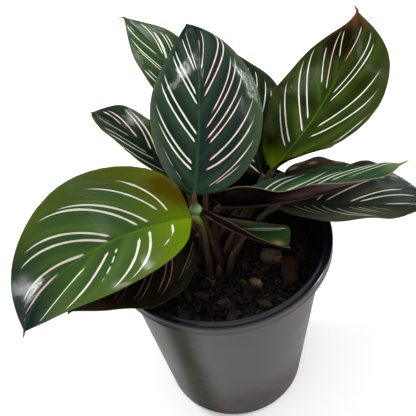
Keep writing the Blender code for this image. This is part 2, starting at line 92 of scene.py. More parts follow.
# The rim's section: how far from its outer or inner edge, and from its skirt's foot or its top
RIM_SKIRT_FOOT = ((-1.5, 0.3), (-1.2, 0), (-0.3, 0), (0, 0.3), (0, 1.2), (-0.25, 1.5))
RIM_OUTER_TOP = ((-0.25, -2.2), (0, -1.9), (0, -1.2), (-0.3, -0.35), (-0.9, 0), (-1.6, -0.1), (-2.2, -0.5))
RIM_INNER_TOP = ((1.8, -0.5), (1.2, -0.1), (0.7, 0), (0.2, -0.2), (0, -0.8))
BODY_TOP_RADIUS = 65.6
BASE_RADIUS = 47.7
BASE_CORNER = 3.5
WALL = 1.5
FLOOR = 2.2
DRAIN_HOLES = 8
DRAIN_RADIUS = 4.5
DRAIN_CIRCLE = 37.0
POT_SIDES = 160
POT_SHARP = 38  # degrees between faces, over which an edge is sharp
DULL_SHADE_HEADING = -121  # of a less glossy stripe down the wall, whose darker, browner colour is painted shade
DULL_SHADE_REACH = 22  # to either side of its middle

# Potting mix, as in the model
MIX_LEVEL = 119.0
MIX_SECTORS = 120
MIX_RINGS = 44
MIX_GAP = 0.3  # to the pot
MIX_SHARP = 12
MIX_SEED = 7
FRAGMENTS = (  # how many, their least and greatest length, and how far over the mix they lie
    (1300, 2.0, 4.5, -0.5),
    (520, 4.5, 8.0, -0.4),
    (140, 8.0, 13.0, -0.2),
    (14, 13.0, 18.0, 0.2),
)
SLIVERS = 520

# Leaves, as in the model unless said
TAIL_HALF_WIDTH = 1.3
TAIL_SPAN = 1.6  # where the drip tip starts to widen, in lengths of the tip
TAIL_TAPER = 0.6
STALK_RADIUS = 1.5
STALK_LEAN = 0.35
STALK_DEPTH = 24.0
CLASP_RADIUS = 2.5
CLASP_END = 0.5
RIB_RADIUS = 1.25
RIB_END_RADIUS = 0.3
RIB_REACH = 0.95
RIB_SUNK = 0.75  # of its radius, how far its middle lies under the blade
PINCH_PLACE = 0.92
PINCH_REACH = 0.06
OPENING = (0.6, 0.95)
MIDRIB_STEPS = 200
BLADE_THICKNESS = 0.6  # of the fine blade
MARGIN_ROUND = 0.55  # how far in from the margin the blade reaches its thickness
EDGE_REACH = 0.28  # of the pale line along the margin
GROOVE_DEPTH = 0.14  # of the midrib's channel on top
GROOVE_WIDTH = 1.3
QUILT_HEIGHT = 0.16  # swell of the blade between the stripes
LONG_BLADE = 120  # longer blades get the first mesh: spacing of columns, and number of middle lanes
FINE_MESH = (3.4, 26)
PLAIN_MESH = (3.0, 18)

# Lanes of a half blade: distances from the midrib and from the margin, and the number of lanes between
INNER_LANES = (0.0, 0.5, 1.0, 1.7, 2.8)
OUTER_LANES = (1.7, 0.9, 0.4, 0.14, 0.0)

# Veins and the stripes along them
VEIN_REACH = 1.1  # over 1 lets the veins meet the margin before the tip
LEAST_SLOPE = 0.12
HALVINGS = 26
LEAST_GAP = 0.12  # of the blade's length, the least that neighbouring veins are counted apart
STRIPE_HALF_WIDTH = 0.38
STRIPE_EDGES = (-1.25, -0.75, 0.75, 1.25)  # half widths between which a stripe's colour comes and goes
THIN = 0.0009  # least half width of a stripe's column, as a share of the midrib
CROSS_VEINS = 1.5  # millimetres from one fine vein to the next

CHIPS = (  # the chips that stand out: place, size, turn, shade from near black 0 to tan 1, and red
    ((31, -6), (21, 14, 6), -20, 0.92, 0.2),
    ((41, -18), (28, 16, 5), 75, 0.5, 1.0),
    ((18, -25), (11, 7, 5), -30, 1.0, 0.55),
    ((10.5, -24), (7, 5, 4), -60, 0.8, 0.7),
    ((12.5, 31), (8, 5, 4), 60, 0.95, 0.6),
    ((28.5, 27), (8, 6, 6), 20, 1.0, 0.3),
    ((-3, -38), (14, 8, 5), 15, 0.5, 0.2),
    ((2, -48), (15, 9, 5), 40, 0.42, 0.9),
    ((22, -42), (13, 8, 5), -35, 0.4, 0.4),
    ((14, -12), (10, 7, 4), 80, 0.45, 0.8),
    ((-28, -44), (13, 8, 5), 60, 0.36, 0.3),
    ((-16, -30), (11, 7, 4), 0, 0.4, 0.7),
)
FIBRES = (  # place, length, radius, turn and shade
    (-10, -20.5, 9, 0.4, 125, 1.0),
    (-7.5, -22, 8, 0.35, 65, 1.0),
    (-9, -17, 6, 0.35, 20, 0.9),
    (6, -6.5, 4, 0.5, 30, 0.95),
    (18, -11, 12, 0.3, 5, 0.7),
    (2, 4, 16, 0.35, 50, 0.6),
    (24, -40, 11, 0.3, 20, 0.55),
    (-20, -38, 14, 0.3, -15, 0.5),
    (33, 17, 15, 0.4, 55, 0.8),
)


class Stripe(NamedTuple):
    """A pinstripe along a vein. Its ends are shares of the way from the midrib to the margin.

    A leaf's rows give the first four in hundredths.
    """

    vein: float  # where its vein leaves the midrib
    start: float
    end: float
    drift: float = 0.0  # how far its outer end lies from its vein
    width: float = 1.0  # of the usual width
    blush: float = 0.1  # pink at its start: 0 is cream, 1 is pink and 2 is coral
    broken: bool = False  # a row of dashes


class Patch(NamedTuple):
    """A stain, a patch of painted shade or light, or a band of painted sheen, at a share of the length and of
    the half width (under 0 on the right half).
    """

    along: float
    out: float
    length: float
    breadth: float
    strength: float = 1.0
    slant: float = 0.0  # how far out it drifts along the blade


class Palette(NamedTuple):
    """Colours of a leaf, from 0 to 255."""

    dark: tuple  # along the pairs of stripes
    pale: tuple  # between them
    heel: tuple
    tip: tuple
    rim: tuple  # towards the margins
    rib: tuple
    # colour of stains and of patches of painted shade and light
    stain: tuple = (60, 42, 14)
    edge: tuple = (104, 98, 70)
    under: tuple = ((38, 14, 20), (70, 34, 42))
    heel_reach: float = 0.12
    tip_start: float = 0.85
    rim_share: float = 0.4
    edge_share: float = 0.45
    stripe: tuple = (226, 234, 210)
    stripe_share: float = 1.0
    gloss: float = 0.1  # level of the reflections


class Leaf(NamedTuple):
    """A leaf, as in the model. Pairs are heel and tip of the midrib, or the left and the right half."""

    name: str
    foot: tuple
    heel: tuple
    heading: tuple
    pitch: tuple
    roll: tuple
    length: float
    half_width: tuple
    fold: tuple
    curl: tuple
    palette: Palette
    left: tuple  # rows of Stripe
    right: tuple
    slopes: tuple = ((1.2, -0.5), (1.2, -0.5))  # of the veins at heel and tip, left half and right
    patches: tuple = ()  # rows of Patch
    painted_sheens: tuple = ()  # the same, for bands of painted sheen on the underside
    roundness: float = 0.52
    taper: float = 1.12
    bend: float = 1.3
    wave: tuple = (1.2, 2.6, 0.1)
    heel_curl: tuple = (0, 0)
    heel_reach: float = 0.3
    late: tuple = (0, 0)
    pinch: tuple = (0, 0)
    open_tip: tuple = (0, 0)
    tail: float = 5.0
    hook: tuple = (0, 0)
    turn: float = 26.0
    knee: tuple = (2.1, 0.86, 0.11)
    fresh: float = 0.0  # how fresh its swollen joint is: 0 is brown, 0.5 is olive and 1 is green

    @property
    def whole(self):
        """The length with the drip tip, as a share of the length without it."""
        return 1 + self.tail / self.length


GREEN_DARK = Palette(
    dark=(16, 38, 30), pale=(48, 71, 51), heel=(28, 48, 28), tip=(30, 44, 28), rim=(86, 108, 72),
    rib=(44, 76, 34), edge=(128, 128, 104), edge_share=0.8, rim_share=0.5, gloss=0.12,
)
GREEN_LEFT = Palette(
    dark=(50, 78, 34), pale=(76, 106, 38), heel=(102, 134, 2), tip=(22, 42, 34), rim=(80, 98, 26),
    rib=(92, 130, 20), stain=(76, 66, 2), heel_reach=0.34, tip_start=0.56, rim_share=0.8, edge_share=0.25,
    gloss=0.12,
)
GREEN_RIGHT = Palette(
    dark=(36, 50, 14), pale=(64, 84, 22), heel=(88, 116, 0), tip=(116, 58, 40), rim=(60, 70, 24),
    rib=(74, 112, 12), stain=(24, 19, 4), under=((84, 44, 16), (120, 68, 30)), heel_reach=0.2, tip_start=0.82,
    rim_share=0.5, gloss=0.012,
)
GREEN_BACK = Palette(
    dark=(38, 62, 34), pale=(62, 90, 44), heel=(50, 76, 38), tip=(54, 74, 36), rim=(64, 86, 42),
    rib=(62, 92, 48),
)
GREEN_BLACK = Palette(
    dark=(18, 32, 20), pale=(38, 56, 36), heel=(26, 30, 20), tip=(76, 90, 36), rim=(68, 80, 34),
    rib=(34, 44, 30), gloss=0.09,
)
GREEN_FAR = Palette(
    dark=(18, 32, 16), pale=(32, 46, 20), heel=(30, 34, 10), tip=(50, 60, 28), rim=(54, 66, 30),
    rib=(50, 68, 34), gloss=0.03,
)
# Partly painted shade: its underside colours are a darker copy of the usual burgundy, for the folded-up near
# half of leaf_folded, which lies in shade.
GREEN_FOLD = Palette(
    dark=(38, 68, 44), pale=(70, 100, 60), heel=(30, 54, 36), tip=(106, 124, 74), rim=(54, 78, 42),
    rib=(50, 78, 46), edge=(150, 140, 108), under=((14, 4, 5), (30, 14, 16)), edge_share=0.7,
)
# Its patch colour (92, 98, 76) only paints light, in leaf_low_right's patch.
GREEN_LOW = Palette(
    dark=(28, 36, 30), pale=(60, 68, 58), heel=(28, 30, 22), tip=(34, 42, 32), rim=(44, 52, 42),
    rib=(46, 56, 44), stain=(92, 98, 76), edge=(90, 90, 74),
)
# Painted shade: the dark rim colour (20, 24, 12), laid thickly towards both margins, darkens the curled
# leaf's far half, which lies in shade.
GREEN_FRONT = Palette(
    dark=(30, 60, 30), pale=(56, 92, 44), heel=(24, 18, 12), tip=(44, 76, 30), rim=(20, 24, 12),
    rib=(54, 90, 46), stain=(206, 178, 120), edge=(130, 114, 78), under=((34, 16, 20), (60, 34, 40)),
    heel_reach=0.7, tip_start=0.9, rim_share=0.9, edge_share=0.5,
)
# Partly painted shade and painted light: its near-black colours are partly painted shade, as leaf_under_left
# lies under leaf_left, and its paler tip (62, 54, 32) is painted light on that leaf's lit outer end.
# BROWN_FAR keeps the same tip.
BROWN_UNDER = Palette(
    dark=(13, 14, 6), pale=(28, 29, 13), heel=(14, 12, 6), tip=(62, 54, 32), rim=(26, 26, 14),
    rib=(26, 24, 12), stain=(220, 212, 160), edge=(70, 66, 44), stripe=(140, 100, 80), stripe_share=0.5,
    gloss=0.03, tip_start=0.65,
)
BROWN_FAR = BROWN_UNDER._replace(dark=(54, 47, 32), pale=(74, 66, 46), rim=(66, 60, 42), stripe_share=0.12)

LEAVES = (
    Leaf(
        name="leaf_centre", palette=GREEN_DARK, foot=(-9, -6), heel=(-12, -1, 178), heading=(72, 100),
        pitch=(41, -30), roll=(1, -4), length=143.5, half_width=(35.2, 40.6), fold=(0, -2), curl=(-41, -39),
        roundness=0.47, taper=1.38, bend=1.67, wave=(0.8, 2.0, 0.3), heel_curl=(5, 14), late=(0.01, -0.04),
        tail=3.0, knee=(3.7, 0.75, 0.065), fresh=1.0, slopes=((1.19, -0.61), (1.21, -0.74)),
        left=(
            (-3, 50, 80, -2, 0.6, 0.1, True), (8.5, 14, 77, -3, 1.1), (11, 13, 83, -2, 1.25),
            (20.6, 6, 78, 0, 1.25), (24.4, 4, 75, 1.5, 1.3), (37, 4, 64, 2, 1.2), (40.7, 5, 61, 2, 1.2),
            (50.3, 7, 45, 3), (53.5, 3, 31, 6, 0.8),
        ),
        right=(
            (-36, 54, 80, -6, 0.7, 0.7), (-20, 42, 88, -10, 0.9, 0.7), (7, 21, 83, -6.7, 0.9, 0.8),
            (9.7, 23, 84, -3.7, 0.95, 0.9), (16.6, 18, 65, -1, 0.9, 0.8), (19.4, 14, 80, 0, 0.95, 0.9),
            (24.2, 12, 79, 1.5, 0.95, 0.9), (27, 20, 69, 3, 0.9, 0.8), (37.7, 8, 93, -3, 0.95, 0.9),
            (41.4, 10, 90, -2, 0.9, 0.9), (50.3, 7, 38, 4.4, 0.9, 0.7), (54.7, 8, 19, 14, 0.8, 0.7),
        ),
    ),
    Leaf(
        name="leaf_left", palette=GREEN_LEFT, foot=(-9, -13), heel=(-15, -13, 172), heading=(180, 202),
        pitch=(-4, -66), roll=(-20, -8), length=140, half_width=(42, 43), fold=(25, 32), curl=(-4, 1),
        roundness=0.37, taper=1.13, bend=1.48, wave=(0.9, 2.2, 0.0), fresh=0.5,
        slopes=((2.31, 0.3), (1.5, -0.71)),
        left=(
            (4.5, 41, 58, 0, 0.9, 0.1, True), (7.5, 10, 52, -4.5, 1.2), (16.9, 11, 91, -12, 1.4),
            (20, 20, 92, -9, 1.6), (29.5, 22, 72, -5.2, 1.1, 0.1, True), (33.8, 20, 95, -2.2, 2.1, 0.4),
            (43.6, 27, 88, 15, 2.4),
        ),
        right=(
            (5.6, 23, 78, -5.5, 0.8), (8.3, 27, 78, -1.5), (16.2, 9, 76, 0.7, 1.4, 0.2),
            (20.6, 9, 85, -2, 1.4), (32.5, 7, 77, 0, 1.5, 0.3), (36.2, 2, 74, 3, 1.7, 0.4),
            (48.1, 2, 46, 9.5, 2.5, 0.4), (59.9, 3, 22, 19, 3.4, 0.8),
        ),
        # Its third patch is painted shade: a faint darkening of the left half near the heel.
        patches=((0.06, -0.72, 0.12, 0.45, 1.3), (0.2, -1.0, 0.14, 0.35, 0.7), (0.1, 0.6, 0.14, 0.5, 0.3)),
    ),
    Leaf(
        name="leaf_right", palette=GREEN_RIGHT, foot=(3, 2), heel=(38, 30, 161), heading=(34, 73),
        pitch=(21, 15), roll=(-7, -5), length=134, half_width=(39.5, 42), fold=(6, 18), curl=(-20, -5),
        taper=1.2, wave=(1.3, 2.8, 0.2), heel_curl=(0, 80), heel_reach=0.2, pinch=(0.3, 0.05), hook=(35, 10),
        turn=12, slopes=((1.22, -0.42), (1.04, -0.13)),
        left=(
            (10, 18, 75, -4.4, 0.8), (13.2, 14, 84, -3.7), (22.9, 4, 86, -0.7, 1.1), (28.1, 9, 87, 2.2, 1.1),
            (41.2, 22, 59, 3.7, 0.9), (45.1, 9, 57, 12.6, 1, 0.8), (58.5, 15, 43, 3, 0.8),
        ),
        right=(
            (-60, 84, 92, 11, 1), (-53, 80, 94, 19, 1.7), (14.7, 24, 86, -11, 0.9), (20.6, 21, 82, -4.4, 1.2),
            (37.6, 11, 70, 4.5, 1.3), (43.6, 9, 73, 7.4, 1.1), (65.9, 2, 42, 3, 0.9, 2.0),
        ),
        patches=(
            (0.12, 0.68, 0.045, 0.35, 1.0), (0.38, 0.3, 0.035, 0.5, 0.85), (0.43, 0.9, 0.04, 0.15, 0.8),
            (0.38, -0.2, 0.03, 0.3, 0.6), (0.51, -0.5, 0.05, 0.25, 0.6), (0.75, 0.32, 0.11, 0.6, 1.7),
            (0.64, 0.52, 0.05, 0.2, 0.8), (0.84, -0.35, 0.1, 0.35, 0.8),
        ),
    ),
    Leaf(
        name="leaf_back_left", palette=GREEN_BACK, foot=(-10, 8), heel=(0, 58, 184), heading=(112, 125),
        pitch=(26, 4), roll=(0, -1), length=103, half_width=(20, 20), fold=(12, 12), curl=(-18, -18),
        roundness=0.5, taper=1.16, hook=(35, -25), slopes=((0.79, -0.14), (0.8, 0.31)),
        left=(
            (5.1, 70, 91, 0, 0.8), (11, 60, 79, 1.5, 0.8), (24, 30, 69, 10), (30, 30, 80, 10.7),
            (48.1, 19, 81, 11.9, 1.1), (63.6, 35, 47, 4.4, 0.6),
        ),
        right=(
            # The cream stripe from 49, 2.8 times the usual width, is partly painted highlight: it takes in
            # the pale gloss beside a real stripe.
            (13, 30, 85), (20, 30, 85), (36, 30, 72, 5.4), (41.5, 30, 67, 6.5), (49, 2, 47, 10, 2.8, 0),
            (54.5, 4, 56, 20, 1.4),
        ),
    ),
    Leaf(
        name="leaf_small_left", palette=GREEN_BLACK, foot=(-16, 3), heel=(-18, 29, 160), heading=(135, 122),
        pitch=(32, -33), roll=(4, -5), length=101, half_width=(16, 15), fold=(24, 25), curl=(-11, -11),
        roundness=0.54, taper=1.1, late=(-0.08, 0), pinch=(0.15, 0),
        left=(
            (5, 60, 97, 5, 0.6), (17.5, 35, 93, 5.2, 0.9), (22.5, 35, 80, 12, 0.9), (39.2, 28, 60, 15.6),
            (53.3, 30, 50, 11, 0.7),
        ),
        right=(
            (12, 10, 85, 0, 1), (23.5, 3, 84, 8, 1.7, 0.5), (30.5, 3, 76, 7.5, 1.4, 0.4),
            (44, 3, 46, 13.5, 1.9, 0.5), (57.7, 5, 32, 6),
        ),
    ),
    Leaf(
        name="leaf_back_right", palette=GREEN_FAR, foot=(-3, 11), heel=(32, 35, 152), heading=(93, 93),
        pitch=(15, -5), roll=(2, 4), length=123, half_width=(29, 29), fold=(6, 5), curl=(-17, -18),
        taper=1.11, slopes=((0.9, 0.1), (0.6, 0.16)),
        left=(
            (0, 25, 85), (6, 20, 80), (20, 12, 80), (26, 12, 75), (42, 10, 70), (48, 10, 60),
            (62, 8, 40, 0, 0.8),
        ),
        right=(
            (0, 30, 86, 0, 0.8), (13, 40, 75, 1, 0.9), (24, 15, 72), (38, 38, 64, 4, 0.9),
            (56, 10, 50, 0, 0.9), (61, 10, 40, 0, 0.8),
        ),
        patches=((0.16, -0.5, 0.12, 0.5, 0.6),),
    ),
    Leaf(
        name="leaf_folded", palette=GREEN_FOLD, foot=(-4, 1), heel=(3, 5, 160), heading=(-12, 16),
        pitch=(3, 11), roll=(-8, 1), length=113, half_width=(22.5, 28), fold=(0, 51), curl=(2, 6),
        roundness=0.28, taper=1.1, wave=(1.4, 3.2, 0.35), heel_curl=(13, 40), late=(0.2, 0), pinch=(-0.4, 0),
        open_tip=(0, 0.6), turn=14, slopes=((1.12, -0.14), (1.12, -0.14)),
        left=(
            (12.5, 45, 97, -8.5, 0.9), (17, 40, 93, -5.5, 0.8), (25.5, 35, 77, 6), (31, 35, 72, 10, 0.9),
            (40, 35, 97, 10), (47, 40, 95, 12, 0.9), (56, 40, 85, 17, 0.8),
        ),
        right=((8, 20, 85), (14, 20, 80), (30, 15, 80), (36, 12, 75), (54, 10, 70), (60, 10, 60)),
        # a paler band of painted sheen on the underside of the folded-up half
        painted_sheens=((0.68, -0.75, 0.2, 0.5, 1.0, -0.6), (0.42, -0.3, 0.1, 0.4, 0.5)),
    ),
    Leaf(
        name="leaf_low_right", palette=GREEN_LOW, foot=(5, -6), heel=(38, 8, 150), heading=(-3, 7),
        pitch=(-5, -23), roll=(5, -6), length=105, half_width=(29.5, 30.5), fold=(28, 31), curl=(-5, -5),
        taper=1.09, wave=(1.6, 3.0, 0.6), late=(0.5, 0), pinch=(0, 0.25),
        slopes=((1.05, -0.39), (2.02, 0.44)),
        left=(
            (19.2, 20, 60, -2, 0.9, 0.6), (25, 14, 71, 3, 1, 0.9), (39.9, 9, 52, 5.2),
            (45.1, 7, 46, 10.4, 1.2), (62.9, 2, 14, 12.6),
        ),
        right=(
            (9.8, 2, 63, 0, 0.8), (14.7, 6, 63, -2, 0.7), (20, 2, 56, -3, 0.8), (24.4, 9, 95, -6),
            (29, 26, 91, -8, 0.8), (37, 19, 65, -2, 0.9), (42, 19, 64, -3, 0.7), (48.8, 26, 50, 2, 0.7),
        ),
        # Painted light: the patch lightens the right half, which faces down and to the front.
        patches=((0.3, -0.65, 0.4, 0.55, 0.8),),
    ),
    Leaf(
        name="leaf_curled_front", palette=GREEN_FRONT, foot=(-2, -6), heel=(-9, 1, 163), heading=(-40, -3),
        pitch=(-24, -20), roll=(-4, 11), length=58, half_width=(13.5, 15), fold=(46, 56), curl=(4, -1),
        roundness=0.55, taper=0.28, wave=(0.5, 2.0, 0.2), heel_curl=(120, 45), heel_reach=0.8, late=(1.4, 0),
        pinch=(0, 0.3), tail=1.0, turn=12, slopes=((0.68, 0.2), (0.8, 0.3)),
        left=((20, 46, 86, 10, 1.2), (27, 40, 75, 10, 0.7, 0.6)),
        right=((20, 20, 70, 0, 0.6), (40, 20, 70, 0, 0.6)),
        patches=((0.87, 0.1, 0.05, 0.12, 1.0), (0.82, -0.3, 0.08, 0.25, 0.8)),
    ),
    Leaf(
        name="leaf_under_left", palette=BROWN_UNDER, foot=(-15, -4), heel=(-14, -3, 145), heading=(199, 217),
        pitch=(14, -27), roll=(-15, 3), length=92, half_width=(36.5, 35.5), fold=(6, 8), curl=(-16, -15),
        taper=1.08, wave=(1.6, 3.0, 0.1), tail=2.0, slopes=((1.81, 0.5), (1.4, 0.3)),
        left=(
            (2, 30, 80, 0, 0.6), (16.5, 30, 87, -8, 0.8), (20, 30, 80, -5, 0.8), (27.5, 30, 83, 0, 0.8),
            (32, 30, 78, 1, 0.8), (45, 20, 80, 0, 0.6), (50, 20, 75, 0, 0.6),
        ),
        right=(
            (4, 30, 80, 0, 0.8), (10, 30, 80, 0, 0.8), (25, 20, 80, 0, 0.8), (30, 20, 75, 0, 0.8),
            (46, 20, 70, 0, 0.8), (52, 20, 60, 0, 0.8),
        ),
    ),
    Leaf(
        name="leaf_behind_fold", palette=BROWN_FAR, foot=(8, 7), heel=(47, 39, 147.5), heading=(0, -5),
        pitch=(7, -17), roll=(-5, -2), length=49, half_width=(15.5, 16.5), fold=(-4, 12), curl=(-19, -16),
        roundness=0.53, taper=1.1,
        left=((10, 20, 70, 0, 0.6), (30, 20, 70, 0, 0.6), (50, 20, 60, 0, 0.6)),
        right=((10, 20, 70, 0, 0.6), (30, 20, 70, 0, 0.6), (50, 20, 60, 0, 0.6)),
        patches=(
            (0.11, 0.4, 0.04, 0.14, 2.0), (0.21, 0.85, 0.03, 0.12, 1.6), (0.35, 0.45, 0.025, 0.1, 1.6),
            (0.66, 0.7, 0.02, 0.08, 1.2),
        ),
    ),
)


class Sheath(NamedTuple):
    name: str
    foot: tuple
    tip: tuple
    radius: float
    dry: float  # 0 is fresh olive, 1 is dried to tan


SHEATHS = (
    Sheath("sheath_olive_tall", (-3, 20), (-1, 17, 147), 2.6, 0.35),
    Sheath("sheath_olive_short", (3, -14), (6, -15, 140), 2.3, 0.4),
    Sheath("sheath_dry_left", (-17, -11), (-18, -12, 130), 2.2, 1.0),
    Sheath("sheath_dry_front", (-4, -15), (-3, -17, 131), 2.4, 0.8),
)


def unit(v):
    return v / np.maximum(np.linalg.norm(v, axis=-1, keepdims=True), 1e-12)


def ease(x, low, high):
    """0 below low, 1 above high, smooth between."""
    x = np.clip((x - low) / (high - low), 0, 1)
    return x * x * (3 - 2 * x)


def bell(x, reach):
    """1 where x is 0, and less and less to either side."""
    return np.exp(-((x / reach) ** 2))


def linear(colour):
    """A colour from 0 to 255, as a screen shows it, in the render's linear light."""
    share = np.array(colour) / 255
    return tuple(np.where(share <= 0.04045, share / 12.92, ((share + 0.055) / 1.055) ** 2.4))


# The surface of a blade, as in the model


def ramp(pair, share):
    return pair[0] + (pair[1] - pair[0]) * share


def aim(heading, pitch):
    """The direction at a heading round the plant and a pitch above the level, in radians."""
    return np.stack([np.cos(pitch) * np.cos(heading), np.cos(pitch) * np.sin(heading), np.sin(pitch)], -1)


def angles(leaf, s):
    return np.radians(ramp(leaf.heading, s)), np.radians(ramp(leaf.pitch, s**leaf.bend))


def direction(leaf, s):
    return aim(*angles(leaf, s))


def tail_direction(leaf):
    """Where the drip tip points: on from the blade, turned and lifted by its hook."""
    heading, pitch = angles(leaf, 1.0)
    return aim(heading + math.radians(leaf.hook[0]), pitch + math.radians(leaf.hook[1]))


def midrib(leaf, s):
    """Points of the midrib, and the blade's directions to the left and up there."""
    ends = np.linspace(0, 1, MIDRIB_STEPS + 1)
    points = np.vstack([np.zeros(3), np.cumsum(direction(leaf, (ends[1:] + ends[:-1]) / 2), axis=0)])
    points = np.array(leaf.heel) + points * leaf.length / MIDRIB_STEPS
    points = np.stack([np.interp(s, ends, points[:, i]) for i in range(3)], -1)
    heading, _ = angles(leaf, s)
    level = np.stack([-np.sin(heading), np.cos(heading), np.zeros_like(heading)], -1)
    rise = np.cross(direction(leaf, s), level)
    roll = np.radians(ramp(leaf.roll, s))[:, None]
    left = level * np.cos(roll) + rise * np.sin(roll)
    return points, left, rise * np.cos(roll) - level * np.sin(roll)


def half_width(leaf, s, side):
    """Half the width at share s of the whole blade and its drip tip, on the left (1) or right (-1) half."""
    right = side < 0
    a, b = leaf.roundness + leaf.late[right], leaf.taper
    widest = np.sqrt(a / (a + 2 * b))
    along = np.clip(s * leaf.whole, 0, 1)
    half = leaf.half_width[right] * (along / widest) ** a * ((1 - along**2) / (1 - widest**2)) ** b
    half = half * (1 - leaf.pinch[right] * bell(s - PINCH_PLACE, PINCH_REACH))
    tail = TAIL_HALF_WIDTH * np.clip((1 - s) / (TAIL_SPAN * leaf.tail / leaf.length), 0, 1) ** TAIL_TAPER
    return np.where(s > 0.8, np.maximum(half, tail), half)


def blade_points(leaf, s, v, side):
    """The blade's middle surface at length share s and share v of the way to the margin, on one half."""
    shape, right = s.shape, side < 0
    s, v = s.ravel(), v.ravel()
    points, left, up = midrib(leaf, np.clip(s * leaf.whole, 0, 1))
    points = points + tail_direction(leaf) * (np.maximum(s * leaf.whole - 1, 0) * leaf.length)[:, None]
    half = half_width(leaf, s, side)
    fold = np.radians(leaf.fold[right] * (1 - leaf.open_tip[right] * ease(s, *OPENING)))
    curl = np.radians(leaf.curl[right] + leaf.heel_curl[right] * np.clip(1 - s / leaf.heel_reach, 0, 1))
    curl = np.where(np.abs(curl) < 1e-3, 1e-3, curl)
    out = half * (np.sin(fold + curl * v) - np.sin(fold)) / curl
    rise = half * (np.cos(fold) - np.cos(fold + curl * v)) / curl
    height, count, phase = leaf.wave
    turn = count * s + phase + 0.4 * right
    rise = rise + height * np.sin(2 * math.pi * turn) * v**2 * np.sin(math.pi * s)
    return (points + left * (out * side)[:, None] + up * rise[:, None]).reshape(*shape, 3)


def blade_normals(leaf, s, v, side):
    """The upper side's direction at each place, by small steps along and across."""
    step = 1e-3
    s = np.clip(s, 4 * step, 1 - 2 * step)
    v = np.clip(v, step, 1 - step)
    along = blade_points(leaf, s + step, v, side) - blade_points(leaf, s - step, v, side)
    across = blade_points(leaf, s, v + step, side) - blade_points(leaf, s, v - step, side)
    return unit(np.cross(along, across) * side)


# Veins: vein u leaves the midrib at share u of the length, or the heel where u is under 0


def vein_places(leaf, side, u, v):
    """The share of the length where vein u is at share v of the way to the margin, found by halving."""
    root = np.maximum(u, 0)
    slope = np.maximum(ramp(leaf.slopes[side < 0], root), LEAST_SLOPE)
    goal = -np.log(1 - np.clip(v, 0, 1) / VEIN_REACH) * (1 + np.minimum(u, 0) * 0.999) / slope
    low, high = root * np.ones_like(v), np.ones_like(v * u)
    for _ in range(HALVINGS):
        middle = (low + high) / 2
        half = half_width(leaf, middle / leaf.whole, side)
        reached = leaf.length * (middle - root) / np.maximum(half, 1e-3) > goal
        low, high = np.where(reached, low, middle), np.where(reached, middle, high)
    return high / leaf.whole


def read_stripes(rows):
    return [Stripe(*(share / 100 for share in row[:4]), *row[4:]) for row in rows]


def lane_shares(half, middle_lanes):
    """Shares of the way to the margin: close lanes beside the midrib and the margin, even ones between."""
    inner, outer = np.array(INNER_LANES)[:, None], np.array(OUTER_LANES)[:, None]
    half = np.maximum(half, 1e-6)
    squeeze = np.minimum(1, half / (2.2 * (INNER_LANES[-1] + OUTER_LANES[0]))) / half
    near, middle, far = np.split(squeeze, (len(inner), len(inner) + middle_lanes))
    first, last = inner[-1] * middle, 1 - outer[0] * middle
    even = first + (last - first) * np.arange(1, middle_lanes + 1)[:, None] / (middle_lanes + 1)
    return np.clip(np.vstack([inner * near, even, 1 - outer * far]), 0, 1)


def stripe_profile(stripe, v, index):
    """Half the stripe's width in mm and its strength at shares v of the way to the margin."""
    x = (v - stripe.start) / (stripe.end - stripe.start)
    inside = np.clip(x, 0, 1)
    head = np.sqrt(np.clip(x / 0.03, 0, 1))
    tail = np.clip((1 - inside) / 0.25, 0, 1) ** 0.6
    club = 1 + 0.22 * bell(inside, 0.1)
    wobble = 1 + 0.1 * np.sin(23 * v + 2.1 * index) + 0.06 * np.sin(57 * v + 1.7 * index)
    width = STRIPE_HALF_WIDTH * stripe.width * head * tail * club * wobble
    strength = ease(x, -0.015, 0.01) * (1 - ease(x, 0.985, 1.01))
    if stripe.broken:
        dashes = 0.5 + 0.5 * np.sin(38 * v + 1.3 * index)
        strength = strength * ease(dashes, 0.2, 0.42)
    return width, strength


def vein_gaps(leaf, side, columns, v):
    """Millimetres between two veins one unit of u apart, measured square to the veins."""
    step = 0.004
    low, high = columns - step, columns + step
    before = blade_points(leaf, vein_places(leaf, side, low, v), v, side)
    after = blade_points(leaf, vein_places(leaf, side, high, v), v, side)
    aside = (after - before) / (2 * step)
    along = unit(np.gradient((before + after) / 2, axis=0))
    square = aside - along * np.sum(aside * along, axis=-1, keepdims=True)
    return np.linalg.norm(square, axis=-1)


def half_blade(leaf, side, columns, middle_lanes):
    """Places and marks of one half of the blade: rows of lanes by columns along veins."""
    stripes = read_stripes(leaf.right if side < 0 else leaf.left)
    lanes = len(INNER_LANES) + middle_lanes + len(OUTER_LANES)
    s = np.tile(np.clip(columns, 0.02, 0.98), (lanes, 1)) / leaf.whole
    v = lane_shares(half_width(leaf, s, side), middle_lanes)
    for _ in range(2):
        gaps = np.clip(vein_gaps(leaf, side, columns, v), LEAST_GAP * leaf.length, None)
        for _ in range(2):
            warped, marks = warp_columns(stripes, columns, v, gaps)
            s = vein_places(leaf, side, warped, v)
            v = lane_shares(half_width(leaf, s, side), middle_lanes)
    tail = np.tile(np.linspace(1 / leaf.whole, 1, 7)[1:], (lanes, 1))
    s = np.hstack([s, tail])
    v = lane_shares(half_width(leaf, s, side), middle_lanes)
    marks = {name: np.hstack([mark, np.zeros_like(tail)]) for name, mark in marks.items()}
    return s, v, np.hstack([warped, np.ones_like(tail)]), marks


